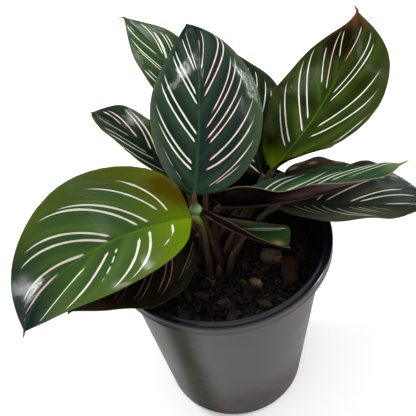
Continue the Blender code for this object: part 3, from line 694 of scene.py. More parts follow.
def warp_columns(stripes, columns, v, gaps):
    """Pulls the columns apart where a stripe is wide, and marks the stripes and the shade between them."""
    warped = np.empty_like(v)
    marks = {name: np.empty_like(v) for name in ("stripe", "tone", "shade")}
    for j in range(len(v)):
        knots = [(-1.0, -1.0, 0.0, 0.0)]
        for i, stripe in enumerate(stripes):
            k = np.argmin(np.abs(columns - stripe.vein))
            width, strength = stripe_profile(stripe, v[j, k], i)
            x = np.clip((v[j, k] - stripe.start) / (stripe.end - stripe.start), 0, 1)
            centre = stripe.vein + stripe.drift * x
            half = max(width / gaps[j, np.argmin(np.abs(columns - centre))], THIN)
            tone = min(stripe.blush, 1) * (1 - 0.6 * x) + max(stripe.blush - 1, 0) * max(1 - 5 * x, 0)
            for edge in STRIPE_EDGES:
                mask = strength if abs(edge) < 1 else 0
                knots.append((stripe.vein + edge * THIN, centre + edge * half, mask, tone))
        rest, place, mask, tone = np.array([*knots, (1.0, 1.0, 0.0, 0.0)]).T
        place = np.minimum(np.maximum.accumulate(place + np.arange(len(place)) * 1e-6), 1.0)
        warped[j] = np.interp(columns, rest, place)
        marks["stripe"][j] = np.interp(columns, rest, mask)
        marks["tone"][j] = np.interp(columns, rest, tone)
        marks["shade"][j] = band_shade(stripes, warped[j], v[j].mean())
    return warped, marks


def band_shade(stripes, u, v):
    """Dark along a pair of stripes and paler midway to the next pair, most of all in the half's middle."""
    veins = np.array([-1.0, *[stripe.vein + stripe.drift * v for stripe in stripes], 1.0])
    widths = np.diff(veins)
    after = np.clip(np.searchsorted(veins, u) - 1, 0, len(widths) - 1)
    share = (u - veins[after]) / np.maximum(widths[after], 1e-6)
    hump = np.sin(math.pi * np.clip(share, 0, 1) ** 2.6) ** 1.3
    return ease(widths[after], 0.05, 0.11) * hump * (0.35 + 0.65 * math.sin(math.pi * min(v, 1) ** 0.7))


def column_places(leaf, spacing):
    """Places of the columns along the midrib: even ones, and four for each stripe of either half."""
    veins = [stripe.vein for stripe in read_stripes(leaf.left + leaf.right)]
    stripes = [vein + edge * THIN for vein in veins for edge in STRIPE_EDGES]
    heel = -1 + np.linspace(0, 1, 12)[:-1] ** 0.8
    even = np.linspace(0, 1, int(leaf.length / spacing) + 1)
    plain = [c for c in [*heel, *even] if c in (-1.0, 0.0, 1.0) or min(abs(c - x) for x in stripes) > 0.006]
    return np.array(sorted([*plain, *stripes]))


def patch_strength(patches, s, v, side):
    strength = np.zeros_like(s)
    for patch in (Patch(*row) for row in patches):
        out = patch.out + patch.slant * (s - patch.along)
        away = ((s - patch.along) / patch.length) ** 2 + ((v * side - out) / patch.breadth) ** 2
        strength = np.maximum(strength, patch.strength * np.exp(-away))
    return strength


# Meshes are gathered as parts and made in one go


class Part(NamedTuple):
    points: np.ndarray
    faces: list
    slot: int
    marks: dict


def grid_faces(rows, columns, flip=False, around=False):
    """Quads of a grid of points, row by row, whose columns may close on themselves."""
    faces = []
    for i in range(rows - 1):
        for j in range(columns if around else columns - 1):
            k = (j + 1) % columns
            face = (i * columns + j, i * columns + k, (i + 1) * columns + k, (i + 1) * columns + j)
            faces.append(face[::-1] if flip else face)
    return faces


def add_object(name, data):
    obj = bpy.data.objects.new(name, data)
    bpy.context.scene.collection.objects.link(obj)
    return obj


def make_piece(name, parts, materials, weld=0.002):
    """One mesh object from parts in millimetres, whose marks become point attributes."""
    points, faces, slots = [], [], []
    marks = {key: [] for key in sorted({key for part in parts for key in part.marks})}
    for part in parts:
        base = len(points)
        flat = np.asarray(part.points).reshape(-1, 3)
        points.extend(flat * MM)
        faces.extend(tuple(i + base for i in face) for face in part.faces)
        slots.extend([part.slot] * len(part.faces))
        for key, values in marks.items():
            values.extend(np.ravel(part.marks.get(key, np.zeros(len(flat)))))
    mesh = bpy.data.meshes.new(name)
    mesh.from_pydata(points, [], faces)
    mesh.polygons.foreach_set("material_index", slots)
    for key, values in marks.items():
        mesh.attributes.new(key, "FLOAT", "POINT").data.foreach_set("value", np.array(values, np.float32))
    bm = bmesh.new()
    bm.from_mesh(mesh)
    bmesh.ops.remove_doubles(bm, verts=bm.verts, dist=weld * MM)
    bmesh.ops.dissolve_degenerate(bm, edges=bm.edges, dist=weld * MM / 4)
    bm.to_mesh(mesh)
    bm.free()
    mesh.shade_smooth()
    for material in materials:
        mesh.materials.append(material)
    return add_object(name, mesh)


def tube_part(centres, radii, slot, sides, marks=None, shape=None):
    """A closed tube round the centres, without twist. shape(ring share, angle) scales the radius."""
    centres, radii = np.asarray(centres, float), np.asarray(radii, float)
    tangents = unit(np.gradient(centres, axis=0))
    side = unit(np.cross(tangents[0], (0.3, 1.0, 0.2)))
    turn = 2 * math.pi * np.arange(sides) / sides
    rings = []
    for i, tangent in enumerate(tangents):
        side = unit(side - tangent * (side @ tangent))
        scale = radii[i] * (1 if shape is None else shape(i / (len(centres) - 1), turn))
        cos, sin = np.cos(turn) * scale, np.sin(turn) * scale
        rings.append(centres[i] + np.outer(cos, side) + np.outer(sin, np.cross(tangent, side)))
    faces = grid_faces(len(centres), sides, around=True)
    faces += [tuple(range(sides))[::-1], tuple(len(centres) * sides - sides + k for k in range(sides))]
    spread = {key: np.repeat(value, sides) for key, value in (marks or {}).items()}
    spread["turn"] = np.tile(np.minimum(turn, 2 * math.pi - turn), len(centres))
    return Part(np.array(rings), faces, slot, spread)


# Node materials


class Shader:
    """The nodes of a material or the world, made one by one from left to right."""

    def __init__(self, name, owner=None):
        self.owner = owner or bpy.data.materials.new(name)
        self.owner.use_nodes = True
        self.tree = self.owner.node_tree

    def feed(self, socket, value):
        """Links a socket to another one, or sets its value. A colour is a tuple from 0 to 255."""
        if isinstance(value, bpy.types.NodeSocket):
            self.tree.links.new(value, socket)
        elif isinstance(value, tuple):
            socket.default_value = (*linear(value), 1)
        else:
            socket.default_value = value

    def node(self, kind, inputs=None, **settings):
        made = self.tree.nodes.new(kind)
        for key, value in settings.items():
            setattr(made, key, value)
        for key, value in (inputs or {}).items():
            self.feed(made.inputs[key], value)
        return made

    def mark(self, name):
        return self.node("ShaderNodeAttribute", attribute_name=name).outputs["Fac"]

    def math(self, operation, a, b=0.0, *more, clamp=False):
        inputs = dict(enumerate((a, b, *more)))
        return self.node("ShaderNodeMath", inputs, operation=operation, use_clamp=clamp).outputs[0]

    def times(self, a, b):
        return self.math("MULTIPLY", a, b)

    def plus(self, a, b, clamp=False):
        return self.math("ADD", a, b, clamp=clamp)

    def minus(self, a, b, clamp=False):
        return self.math("SUBTRACT", a, b, clamp=clamp)

    def sum(self, a, share_a, b, share_b):
        return self.plus(self.times(a, share_a), self.times(b, share_b))

    def scale(self, value, low, high, to_low=0.0, to_high=1.0, kind="SMOOTHSTEP"):
        """A step from one range to another."""
        inputs = {"Value": value, "From Min": low, "From Max": high, "To Min": to_low, "To Max": to_high}
        return self.node("ShaderNodeMapRange", inputs, interpolation_type=kind).outputs["Result"]

    def split(self, vector):
        return self.node("ShaderNodeSeparateXYZ", {0: vector}).outputs

    def vector(self, x, y, z=0.0):
        return self.node("ShaderNodeCombineXYZ", {"X": x, "Y": y, "Z": z}).outputs[0]

    def place(self, kind="Object"):
        return self.node("ShaderNodeTexCoord").outputs[kind]

    def noise(self, vector, scale, detail=3.0, roughness=0.5, distortion=0.0):
        inputs = {"Vector": vector, "Scale": scale, "Detail": detail}
        inputs.update({"Roughness": roughness, "Distortion": distortion})
        return self.node("ShaderNodeTexNoise", inputs).outputs["Fac"]

    def streaks(self, across, dense, along, sparse, detail):
        """Noise that is close across and drawn out along."""
        return self.noise(self.vector(self.times(across, dense), self.times(along, sparse)), 1.0, detail)

    def mix(self, factor, a, b):
        """Colour a where factor is 0 and b where it is 1."""
        inputs = {0: factor, 6: a, 7: b}
        return self.node("ShaderNodeMix", inputs, data_type="RGBA", clamp_factor=True).outputs[2]

    def coats(self, colour, *coats):
        """Coats over a colour in turn, each given by its cover and its own colour."""
        for cover, coat in coats:
            colour = self.mix(cover, colour, coat)
        return colour

    def bump(self, height, distance, strength=1.0, normal=None):
        inputs = {"Height": height, "Distance": distance * MM, "Strength": strength}
        if normal is not None:
            inputs["Normal"] = normal
        return self.node("ShaderNodeBump", inputs).outputs["Normal"]

    def waxy(self, level):
        """Gloss of this level, which fades where the surface is seen nearly edge on."""
        facing = self.node("ShaderNodeLayerWeight", {"Blend": 0.5}).outputs["Facing"]
        return self.scale(facing, 0.38, 0.72, level, 0.0)

    def finish(self, shader="Principled BSDF", **sockets):
        """Sets the shader's own sockets, named with _ for a blank, and returns the material."""
        for key, value in sockets.items():
            self.feed(self.tree.nodes[shader].inputs[key.replace("_", " ")], value)
        return self.owner


STRIPE_PINK = (238, 184, 186)
STRIPE_CORAL = (196, 74, 50)
# Painted sheen: the paler mauve of a band on an underside
UNDER_PAINTED_SHEEN = (108, 82, 86)


def cross_veins(sh, leaf, across):
    """Ripples of the fine veins, which run beside the stripes."""
    return sh.math("SINE", sh.times(across, 2 * math.pi * leaf.length / CROSS_VEINS))


def blade_material(leaf):
    """The upper side: bands of green along the veins, stains and patches of painted shade and light,
    pinstripes and a pale margin.
    """
    palette, sh = leaf.palette, Shader(leaf.name + "_top")
    across, out, along, blush = (sh.mark(name) for name in ("across", "out", "along", "tone"))
    streaks = sh.streaks(across, 60, out, 2.5, 4)
    clouds = sh.noise(sh.place(), 28, 3)
    light = sh.math("MULTIPLY_ADD", streaks, 0.7, -0.35)
    light = sh.plus(light, sh.times(sh.mark("shade"), 0.8), clamp=True)
    heel = sh.scale(sh.plus(along, sh.times(clouds, 0.08)), palette.heel_reach, 0.02)
    tip = sh.plus(along, sh.times(streaks, 0.06))
    # stains, and on two leaves patches of painted shade and light
    stain = sh.times(sh.mark("stain"), sh.scale(clouds, 0.25, 0.6, 0.55, 1.0))
    stripe = sh.mix(blush, palette.stripe, STRIPE_PINK)
    stripe = sh.mix(sh.minus(blush, 1.0, clamp=True), stripe, STRIPE_CORAL)
    colour = sh.coats(
        sh.mix(light, palette.dark, palette.pale),
        (sh.times(sh.scale(out, 0.55, 1.05), sh.times(clouds, 2 * palette.rim_share)), palette.rim),
        (heel, palette.heel),
        (sh.scale(tip, palette.tip_start, min(palette.tip_start + 0.3, 1.0)), palette.tip),
        (stain, palette.stain),
        (sh.times(sh.mark("rib"), sh.scale(along, 0.75, 0.3, 0.15, 0.85)), palette.rib),
        (sh.times(sh.mark("stripe"), palette.stripe_share), stripe),
        (sh.times(sh.mark("edge"), palette.edge_share), palette.edge),
    )
    ridges = cross_veins(sh, leaf, across)
    normal = sh.bump(sh.plus(sh.times(ridges, 0.5), sh.times(streaks, 1.6)), 0.06, 0.6)
    normal = sh.bump(sh.noise(sh.place(), 900, 2), 0.05, 0.35, normal)
    roughness = sh.scale(clouds, 0.2, 0.8, 0.09, 0.16)
    shiny = sh.minus(1.0, sh.times(sh.math("MAXIMUM", heel, stain), 0.8), clamp=True)
    gloss = sh.times(sh.waxy(palette.gloss), shiny)
    return sh.finish(Base_Color=colour, Roughness=roughness, Normal=normal, Specular_IOR_Level=gloss)


def underside_material(leaf):
    """The underside: burgundy with darker veins and a soft sheen, and paler bands of painted sheen where a
    leaf lists them.
    """
    palette, sh = leaf.palette, Shader(leaf.name + "_under")
    across = sh.mark("across")
    streaks = sh.streaks(across, 50, sh.mark("out"), 2.5, 3)
    clouds = sh.noise(sh.place(), 24, 3)
    dark, pale = palette.under
    colour = sh.coats(
        dark,
        (sh.scale(clouds, 0.3, 0.7, 0.0, 0.8), pale),
        (sh.scale(streaks, 0.35, 0.7, 0.0, 0.6), dark),
        # painted sheen
        (sh.mark("bloom"), UNDER_PAINTED_SHEEN),
        (sh.times(sh.mark("edge"), palette.edge_share), palette.edge),
    )
    ridges = cross_veins(sh, leaf, across)
    normal = sh.bump(sh.plus(ridges, streaks), 0.08, 0.8)
    return sh.finish(Base_Color=colour, Roughness=0.5, Normal=normal, Specular_IOR_Level=sh.waxy(0.05))


def stalk_material():
    """Stalk from its clasping foot to the swollen joint, then the rib under the blade."""
    sh = Shader("stalk")
    climb, fresh = sh.mark("climb"), sh.mark("fresh")
    fibres = sh.streaks(sh.mark("turn"), 9, climb, 7, 4)
    foot = sh.mix(sh.scale(fibres, 0.42, 0.7), (46, 18, 18), (126, 90, 56))
    upper = sh.mix(fibres, (48, 34, 20), (88, 74, 36))
    joint = sh.coats(
        sh.mix(fibres, (46, 42, 18), (72, 66, 30)),
        (sh.scale(fresh, 0.0, 0.5), (96, 98, 14)),
        (sh.scale(fresh, 0.5, 1.0), sh.mix(fibres, (112, 158, 96), (134, 180, 118))),
    )
    colour = sh.coats(
        foot,
        (sh.scale(climb, 0.15, 0.6), upper),
        (sh.mark("knee"), joint),
        (sh.scale(climb, 1.0, 1.03), (50, 22, 24)),
    )
    normal = sh.bump(fibres, 0.25, 0.8)
    return sh.finish(Base_Color=colour, Roughness=0.5, Normal=normal, Specular_IOR_Level=0.3)


def sheath_material():
    """A leaf's sheath: fresh or dry, darker towards its foot and pale where its end is torn."""
    sh = Shader("sheath")
    climb = sh.mark("climb")
    fibres = sh.scale(sh.streaks(sh.mark("turn"), 14, climb, 4, 5), 0.35, 0.65)
    colour = sh.coats(
        sh.mix(fibres, (36, 28, 14), (104, 94, 48)),
        (
            sh.plus(sh.mark("dry"), sh.scale(climb, 0.7, 1.0, 0.0, 0.4), clamp=True),
            sh.mix(fibres, (60, 34, 18), (150, 112, 72)),
        ),
        (sh.scale(climb, 0.6, 0.2, 0.0, 0.8), (30, 18, 12)),
        (sh.scale(climb, 0.88, 1.0), (172, 140, 100)),
    )
    return sh.finish(Base_Color=colour, Roughness=0.65, Normal=sh.bump(fibres, 0.4, 0.9))


# Leaves


def leaf_grid(leaf, spacing, middle_lanes):
    """The whole blade: lanes from the right margin to the left one, by columns from heel to drip tip."""
    columns = column_places(leaf, spacing)
    grids = []
    for side in (-1, 1):
        s, v, u, marks = half_blade(leaf, side, columns, middle_lanes)
        points, normals = blade_points(leaf, s, v, side), blade_normals(leaf, s, v, side)
        half = half_width(leaf, s, side)
        inward = half * (1 - v)
        groove = GROOVE_DEPTH * bell(half * v, GROOVE_WIDTH)
        quilt = QUILT_HEIGHT * (marks["shade"] - 0.4) * ease(inward, 0, 6) * ease(half * v, 0, 8)
        share = np.clip(inward / MARGIN_ROUND, 0, 1)
        offset = BLADE_THICKNESS / 2 * np.sqrt(1 - (1 - share) ** 2)
        raised = points + normals * (offset - groove * share + quilt)[..., None]
        lowered = points - normals * (offset - quilt)[..., None]
        marks.update(
            across=u,
            out=v,
            along=s,
            rib=bell(half * v, 0.35 + 0.4 * (1 - s)),
            edge=bell(inward, EDGE_REACH),
            stain=patch_strength(leaf.patches, s, v, side),
            # where the underside has painted sheen
            bloom=patch_strength(leaf.painted_sheens, s, v, side),
        )
        grids.append({"top": raised, "under": lowered, **marks})
    right, left = grids
    joined = {key: np.vstack([right[key][::-1], left[key][1:]]) for key in right}
    sides = [joined.pop(key) for key in ("top", "under")]
    for key, points in zip(("top", "under"), sides):
        points[len(right[key]) - 1] = (right[key][0] + left[key][0]) / 2
    return *sides, joined


def stalk_route(leaf, steps):
    """As in the model: a Hermite curve from the mix to the heel, with a clasping foot and a swollen joint."""
    foot = np.array([*leaf.foot, MIX_LEVEL])
    _, _, up = midrib(leaf, np.zeros(1))
    heel = np.array(leaf.heel, float) - up[0] * RIB_RADIUS * RIB_SUNK
    run = np.linalg.norm(heel - foot)
    start = unit((heel - foot) * (STALK_LEAN, STALK_LEAN, 1)) * run * 1.2
    end = direction(leaf, np.zeros(1))[0] * min(0.55 * run, leaf.turn)
    u = np.linspace(0, 1, steps + 1)[:, None] ** 0.85
    centres = (
        (2 * u**3 - 3 * u**2 + 1) * foot
        + (u**3 - 2 * u**2 + u) * start
        + (3 * u**2 - 2 * u**3) * heel
        + (u**3 - u**2) * end
    )
    u = u[:, 0]
    clasp = (CLASP_RADIUS - STALK_RADIUS) * np.clip(1 - u / CLASP_END, 0, 1)
    radius, place, reach = leaf.knee
    knee = bell(u - place, reach)
    return centres, STALK_RADIUS + clasp + (radius - STALK_RADIUS) * knee, u, knee


def stem_part(leaf, slot):
    """Stalk, swollen joint and the rib under the blade, as one tapered tube."""
    centres, radii, climb, knee = stalk_route(leaf, 44)
    low = np.array([*leaf.foot, MIX_LEVEL - STALK_DEPTH])
    s = np.linspace(0, RIB_REACH, 60)[1:]
    v = np.zeros_like(s)
    normals = blade_normals(leaf, s, v, 1) + blade_normals(leaf, s, v, -1)
    radius = RIB_RADIUS + (RIB_END_RADIUS - RIB_RADIUS) * s / RIB_REACH
    sunk = radius * (RIB_SUNK + 0.35 * ease(s, 0, 0.06))
    rib = blade_points(leaf, s, v, 1) - unit(normals) * sunk[:, None]
    centres = np.vstack([low, centres, rib])
    radii = np.concatenate([[CLASP_RADIUS], radii, radius])
    marks = {
        "climb": np.concatenate([[0], climb, 1 + s]),
        "knee": np.concatenate([[0], knee, bell(s, 0.05) * knee[-1]]),
        "fresh": np.full(len(radii), leaf.fresh),
    }
    return tube_part(centres, radii, slot, 16, marks)


def make_leaf(leaf, stalk):
    """The fine leaf that stands for the model's plain one."""
    top, under, marks = leaf_grid(leaf, *(FINE_MESH if leaf.length > LONG_BLADE else PLAIN_MESH))
    rows, columns = top.shape[:2]
    parts = [
        Part(top, grid_faces(rows, columns, flip=True), 0, marks),
        Part(under, grid_faces(rows, columns), 1, marks),
        stem_part(leaf, 2),
    ]
    piece = make_piece(leaf.name + "_fine", parts, [blade_material(leaf), underside_material(leaf), stalk])
    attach(piece, ROOT)
    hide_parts(leaf.name)


# Sheaths


def make_sheath(sheath, material):
    foot, tip = np.array([*sheath.foot, MIX_LEVEL], float), np.array(sheath.tip, float)
    share = np.linspace(0, 1, 26)
    centres = foot + (tip - foot) * share[:, None]
    centres[:, 0] += 0.5 * np.sin(math.pi * share) * np.sign(tip[0] - foot[0] + 0.1)
    radii = sheath.radius * np.interp(share, (0, 0.3, 0.6, 0.85, 1), (0.95, 0.9, 0.72, 0.45, 0.12))
    centres = np.vstack([[*sheath.foot, MIX_LEVEL - 12], centres])
    radii = np.concatenate([[sheath.radius], radii])

    def flattened(along, turn):
        ridges = 1 + 0.05 * np.sin(11 * turn) + 0.03 * np.sin(23 * turn + 3 * along)
        return ridges * (1 - 0.4 * along * np.abs(np.sin(turn)))

    marks = {"climb": np.concatenate([[0], share]), "dry": np.full(len(radii), sheath.dry)}
    part = tube_part(centres, radii, 0, 36, marks, flattened)
    piece = make_piece(sheath.name + "_fine", [part], [material])
    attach(piece, ROOT)
    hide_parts(sheath.name)


# Pot


def wall_radius(height):
    return BASE_RADIUS + (BODY_TOP_RADIUS - BASE_RADIUS) * height / POT_HEIGHT


def ring(radius, height, turn):
    return np.stack([radius * np.cos(turn), radius * np.sin(turn), height + 0 * turn], -1)


def pot_profile():
    """The pot's section from the middle of its base, up outside and down inside."""
    turns = np.linspace(0, math.pi / 2, 7)
    foot = wall_radius(BASE_CORNER)
    corner = [(foot - BASE_CORNER * (1 - math.sin(a)), BASE_CORNER * (1 - math.cos(a))) for a in turns]
    under = POT_HEIGHT - WALL
    outside = [(wall_radius(z), z) for z in np.linspace(BASE_CORNER + 2, under - 0.3, 24)]
    rim = [(RIM_RADIUS - WALL, under)]
    for places, radius, height in (
        (RIM_SKIRT_FOOT, RIM_RADIUS, POT_HEIGHT - RIM_SKIRT),
        (RIM_OUTER_TOP, RIM_RADIUS, POT_HEIGHT),
        (RIM_INNER_TOP, RIM_INNER, POT_HEIGHT),
    ):
        rim += [(radius + away, height + up) for away, up in places]
    inside = [(wall_radius(z) - WALL, z) for z in np.linspace(POT_HEIGHT - 3, FLOOR + 2, 14)]
    floor = [(wall_radius(FLOOR) - WALL - 2, FLOOR), (0, FLOOR)]
    return [(0, 0), (20, 0), *corner, *outside, *rim, *inside, *floor]


def make_pot():
    turn = 2 * math.pi * np.arange(POT_SIDES) / POT_SIDES
    points = np.array([ring(radius, height, turn) for radius, height in pot_profile()])
    part = Part(points, grid_faces(len(points), POT_SIDES, around=True), 0, {})
    pot = make_piece("pot_fine", [part], [pot_material()])
    cut_drains(pot)
    pot.data.set_sharp_from_angle(angle=math.radians(POT_SHARP))
    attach(pot, ROOT)
    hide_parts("pot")


def cut_drains(pot):
    """Round drain holes through the floor."""
    parts = []
    for k in range(DRAIN_HOLES):
        turn = 2 * math.pi * (k + 0.5) / DRAIN_HOLES
        x, y = DRAIN_CIRCLE * math.cos(turn), DRAIN_CIRCLE * math.sin(turn)
        parts.append(tube_part([(x, y, -FLOOR), (x, y, 2 * FLOOR)], [DRAIN_RADIUS] * 2, 0, 32))
    cutter = make_piece("drain_cutter", parts, [])
    cut = pot.modifiers.new("Drains", "BOOLEAN")
    cut.operation = "DIFFERENCE"
    cut.object = cutter
    bpy.context.view_layer.update()
    graph = bpy.context.evaluated_depsgraph_get()
    pot.data = bpy.data.meshes.new_from_object(pot.evaluated_get(graph))
    pot.modifiers.clear()
    bpy.data.objects.remove(cutter)


def pot_material():
    """Black moulded plastic, satin outside with fine scuffs and glossier on the rim. Its grey outside is
    partly dust and partly painted reflection of the floor, and painted shade darkens it inside, towards its
    foot and in one stripe.
    """
    sh = Shader("pot_satin")
    place = sh.place()
    clouds = sh.noise(place, 22, 4)
    scuffs = sh.noise(place, 130, 5, 0.6, 0.6)
    x, y, height = sh.split(place)
    rim = sh.scale(height, 0.1355, 0.1375)
    east, north = math.cos(math.radians(DULL_SHADE_HEADING)), math.sin(math.radians(DULL_SHADE_HEADING))
    aside = sh.math("ABSOLUTE", sh.sum(x, -north, y, east))
    dull_shade = sh.scale(sh.sum(aside, 1.0, clouds, 0.008), DULL_SHADE_REACH * MM, 0.3 * DULL_SHADE_REACH * MM)
    dull_shade = sh.times(dull_shade, sh.math("GREATER_THAN", sh.sum(x, east, y, north), 0.0))
    # where the wall faces inwards, for the painted shade inside
    radius = sh.math("SQRT", sh.plus(sh.times(x, x), sh.times(y, y)))
    taper = (BODY_TOP_RADIUS - BASE_RADIUS) / POT_HEIGHT
    inside = sh.math("LESS_THAN", sh.sum(radius, 1.0, height, -taper), (BASE_RADIUS - WALL / 2) * MM)
    colour = sh.coats(
        # Partly painted reflection: this grey stands in part for the pale floor reflected in the satin wall.
        sh.mix(sh.scale(clouds, 0.25, 0.75), (74, 72, 71), (86, 83, 82)),
        # Painted shade: darker towards the pot's foot.
        (sh.scale(height, 0.056, 0.018), (56, 49, 48)),
        # Painted shade: the darker, browner stripe down the wall, which is also less glossy.
        (dull_shade, (48, 44, 35)),
        (sh.scale(scuffs, 0.56, 0.75, 0.0, 0.35), (92, 88, 84)),
        # Painted shade: near black on the inside wall.
        (inside, (22, 22, 22)),
        (rim, (15, 16, 23)),
    )
    roughness = sh.minus(sh.scale(clouds, 0.2, 0.8, 0.36, 0.5), sh.times(rim, 0.24))
    gloss = sh.plus(sh.minus(0.16, sh.times(dull_shade, 0.13)), sh.times(rim, 0.34))
    normal = sh.bump(scuffs, 0.05, 0.5)
    return sh.finish(Base_Color=colour, Roughness=roughness, Normal=normal, Specular_IOR_Level=gloss)


# Potting mix


def mix_height(x, y):
    """The uneven top of the mix, as in the model, with the crumbs' own relief."""
    away = np.hypot(x + 6, y - 2)
    mound = 2.0 * bell(away, 30)
    coarse = 0.9 * np.sin(0.23 * x + 1.0) * np.cos(0.19 * y)
    fine = 0.6 * np.sin(0.41 * y + 0.17 * x)
    return MIX_LEVEL - 1.5 + mound + coarse + fine


def mix_radius(height):
    return wall_radius(height) - WALL - MIX_GAP


def mix_bed_part(draw):
    """The mix's wall and its rough top, from the middle of its underside to the middle of its top."""
    turn = 2 * math.pi * np.arange(MIX_SECTORS) / MIX_SECTORS
    low = FLOOR + MIX_GAP
    rings = [ring(0, low, turn), ring(mix_radius(FLOOR) - 2.3, low, turn)]
    rings.append(ring(mix_radius(FLOOR + 2.3), FLOOR + 2.6, turn))
    for k in range(MIX_RINGS, -1, -1):
        bare = ring(mix_radius(MIX_LEVEL - 4) * k / MIX_RINGS, 0, turn)
        rough = np.array([draw.uniform(-0.7, 0.5) for _ in turn]) * min(1, k / 3)
        bare[:, 2] = mix_height(bare[:, 0], bare[:, 1]) - 1.2 + rough
        rings.append(bare)
    marks = {"shade": np.full((len(rings), MIX_SECTORS), 0.1)}
    return Part(np.array(rings), grid_faces(len(rings), MIX_SECTORS, around=True), 0, marks)


def fragment_part(draw, place, size, turn, shade, red, lean=0.45, corners=6):
    """A broken plate of bark: the hull of an uneven outline above and below, which keeps sharp corners."""
    bm = bmesh.new()
    first = draw.uniform(0, math.tau)
    for side in (-1, 1):
        for k in range(corners):
            angle = first + math.tau * (k + draw.uniform(-0.3, 0.3)) / corners
            reach = 0.5 * draw.uniform(0.5, 1.0) * (1 - 0.25 * draw.random() * (side > 0))
            corner = (reach * math.cos(angle), reach * math.sin(angle), side * draw.uniform(0.2, 0.5))
            bm.verts.new([share * width for share, width in zip(corner, size)])
    hull = bmesh.ops.convex_hull(bm, input=bm.verts)
    spare = hull["geom_interior"] + hull["geom_unused"]
    loose = list({vert for vert in spare if isinstance(vert, bmesh.types.BMVert)})
    bmesh.ops.delete(bm, geom=loose, context="VERTS")
    bmesh.ops.recalc_face_normals(bm, faces=bm.faces)
    bm.verts.index_update()
    local = np.array([vert.co for vert in bm.verts])
    faces = [tuple(vert.index for vert in face.verts) for face in bm.faces]
    bm.free()
    yaw = Matrix.Rotation(math.radians(turn), 3, "Z")
    tilt = Matrix.Rotation(draw.gauss(0, lean), 3, "X") @ Matrix.Rotation(draw.gauss(0, lean), 3, "Y")
    marks = {"grain_" + axis: local[:, i] for i, axis in enumerate("xyz")}
    marks.update(shade=np.full(len(local), shade), red=np.full(len(local), red))
    return Part(local @ np.array(yaw @ tilt).T + place, faces, 0, marks)


def on_mix(x, y, lift=0.0):
    return np.array([x, y, float(mix_height(np.float64(x), np.float64(y))) + lift])


def place_in_mix(draw, reach):
    """A random place on the mix that keeps its distance from the wall."""
    radius = (mix_radius(MIX_LEVEL) - reach) * math.sqrt(draw.random())
    turn = draw.uniform(0, math.tau)
    return radius * math.cos(turn), radius * math.sin(turn)


def fibre_part(draw, place, length, radius, turn, shade):
    """A thin root or bark fibre that lies bent over the mix."""
    share = np.linspace(-0.5, 0.5, 9)
    cos, sin = math.cos(math.radians(turn)), math.sin(math.radians(turn))
    bow = length * draw.uniform(-0.14, 0.14) * (1 - 4 * share**2)
    flat = np.outer(share * length, (cos, sin)) + np.outer(bow, (-sin, cos))
    rise = length * 0.08 * np.sin(math.pi * (share + 0.5)) + draw.uniform(0.4, 1.2)
    radii = radius * (1 - 2.56 * share**2)
    marks = {"shade": np.full(9, shade), "grain_x": share * length}
    return tube_part(place + np.column_stack([flat, rise]), radii, 0, 6, marks)


def make_mix():
    draw = random.Random(MIX_SEED)
    parts = [mix_bed_part(draw)]
    for count, low, high, lift in FRAGMENTS:
        for _ in range(count):
            length = draw.uniform(low, high)
            size = (length, length * draw.uniform(0.25, 0.65), length * draw.uniform(0.14, 0.34))
            place = on_mix(*place_in_mix(draw, length * 0.55), lift + draw.uniform(-0.5, 0.7))
            shade, red = draw.random() ** 2.5 * 0.62, draw.random()
            parts.append(fragment_part(draw, place, size, draw.uniform(0, 360), shade, red))
    for _ in range(SLIVERS):
        length = draw.uniform(4, 13)
        place = on_mix(*place_in_mix(draw, length * 0.55), 0.6)
        size = (length, draw.uniform(0.6, 1.5), draw.uniform(0.4, 0.8))
        shade = draw.random() ** 1.6 * 0.8
        parts.append(fragment_part(draw, place, size, draw.uniform(0, 360), shade, draw.random(), 0.2, 5))
    for place, *look in CHIPS:
        parts.append(fragment_part(draw, on_mix(*place, 1.5), *look, 0.12, 11))
    for x, y, *look in FIBRES:
        parts.append(fibre_part(draw, on_mix(x, y), *look))
    piece = make_piece("potting_mix_fine", parts, [mix_material()], weld=0)
    piece.data.set_sharp_from_angle(angle=math.radians(MIX_SHARP))
    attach(piece, ROOT)
    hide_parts("potting_mix")


def mix_material():
    """Damp bark: near black peat between dark brown chips, which have layers, and a few pale ones."""
    sh = Shader("bark")
    shade, red = sh.mark("shade"), sh.scale(sh.mark("red"), 0.5, 1.0)
    y, z = sh.times(sh.mark("grain_y"), 4.0), sh.times(sh.mark("grain_z"), 6.0)
    layers = sh.noise(sh.vector(sh.mark("grain_x"), y, z), 0.35, 5, 0.6, 0.4)
    grit = sh.noise(sh.place(), 600, 4, 0.6)
    clouds = sh.noise(sh.place(), 160, 3)
    colour = sh.coats(
        (11, 9, 8),
        (sh.scale(shade, 0.05, 0.6), sh.mix(red, (46, 35, 26), (48, 28, 21))),
        (sh.scale(shade, 0.6, 0.95), sh.mix(red, (112, 90, 64), (64, 34, 26))),
        (sh.scale(layers, 0.42, 0.66, 0.0, 0.75), (14, 10, 8)),
        (sh.scale(clouds, 0.48, 0.7, 0.0, 0.6), (10, 8, 7)),
        (sh.times(sh.scale(grit, 0.58, 0.8, 0.0, 0.5), sh.scale(shade, 0.1, 0.8)), (120, 100, 76)),
    )
    normal = sh.bump(grit, 0.3, 0.8, sh.bump(layers, 0.6, 0.9))
    return sh.finish(Base_Color=colour, Roughness=0.75, Normal=normal, Specular_IOR_Level=0.2)


# Stage, light and camera


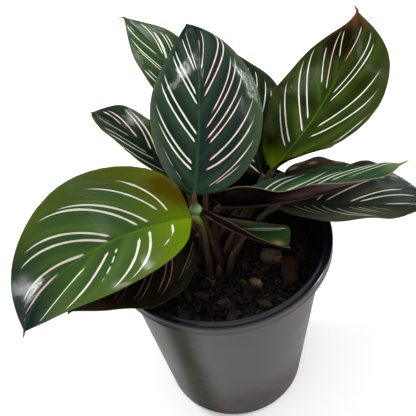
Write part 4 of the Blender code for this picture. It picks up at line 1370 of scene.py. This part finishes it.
def make_stage():
    bpy.ops.mesh.primitive_plane_add(size=FLOOR_SIZE)
    floor = bpy.context.active_object
    floor.name = "floor"
    sh = Shader("pale_floor")
    sh.finish(Base_Color=(250, 250, 249), Roughness=0.9, Specular_IOR_Level=0.1)
    floor.data.materials.append(sh.finish(Emission_Color=(255, 255, 255), Emission_Strength=FLOOR_GLOW))


def soft_light(name, heading, height, distance, size, power):
    """A soft box that faces the plant, seen from it at a heading and a height above the level in degrees."""
    light = bpy.data.lights.new(name, "AREA")
    light.shape = "RECTANGLE"
    light.size, light.size_y = size
    light.energy = power
    obj = add_object(name, light)
    way = Vector(aim(math.radians(heading), math.radians(height)))
    obj.location = Vector(PLANT_MIDDLE) + way * distance
    obj.rotation_euler = (-way).to_track_quat("-Z", "Y").to_euler()
    return obj


def make_lights():
    for light in LIGHTS:
        soft_light(*light).visible_glossy = False
    for light in GLINTS:
        soft_light(*light).visible_diffuse = False
    world = bpy.context.scene.world = bpy.data.worlds.new("studio")
    sh = Shader("studio", world)
    height = sh.split(sh.place("Generated"))["Z"]
    bands = [sh.scale(height, *band, kind="LINEAR") for band in WORLD_BANDS]
    sh.finish("Background", Color=(255, 255, 255), Strength=sh.math("MAXIMUM", *bands))


def make_camera():
    camera = bpy.data.cameras.new("camera")
    camera.sensor_width = SENSOR_MM
    camera.lens = FOCAL_PIXELS * SENSOR_MM / PHOTO_SIDE
    right, up = Vector(CAMERA_RIGHT), Vector(CAMERA_UP)
    turned = Matrix((right, up, right.cross(up))).transposed().to_4x4()
    obj = add_object("camera", camera)
    obj.matrix_world = Matrix.Translation(Vector(CAMERA_PLACE) * MM) @ turned
    bpy.context.scene.camera = obj


def main():
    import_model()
    make_camera()
    make_lights()
    make_stage()
    stalk = stalk_material()
    for leaf in LEAVES:
        make_leaf(leaf, stalk)
    sheath_skin = sheath_material()
    for sheath in SHEATHS:
        make_sheath(sheath, sheath_skin)
    make_pot()
    make_mix()
    bpy.context.scene.view_settings.view_transform = "Standard"
    bpy.context.view_layer.update()


main()
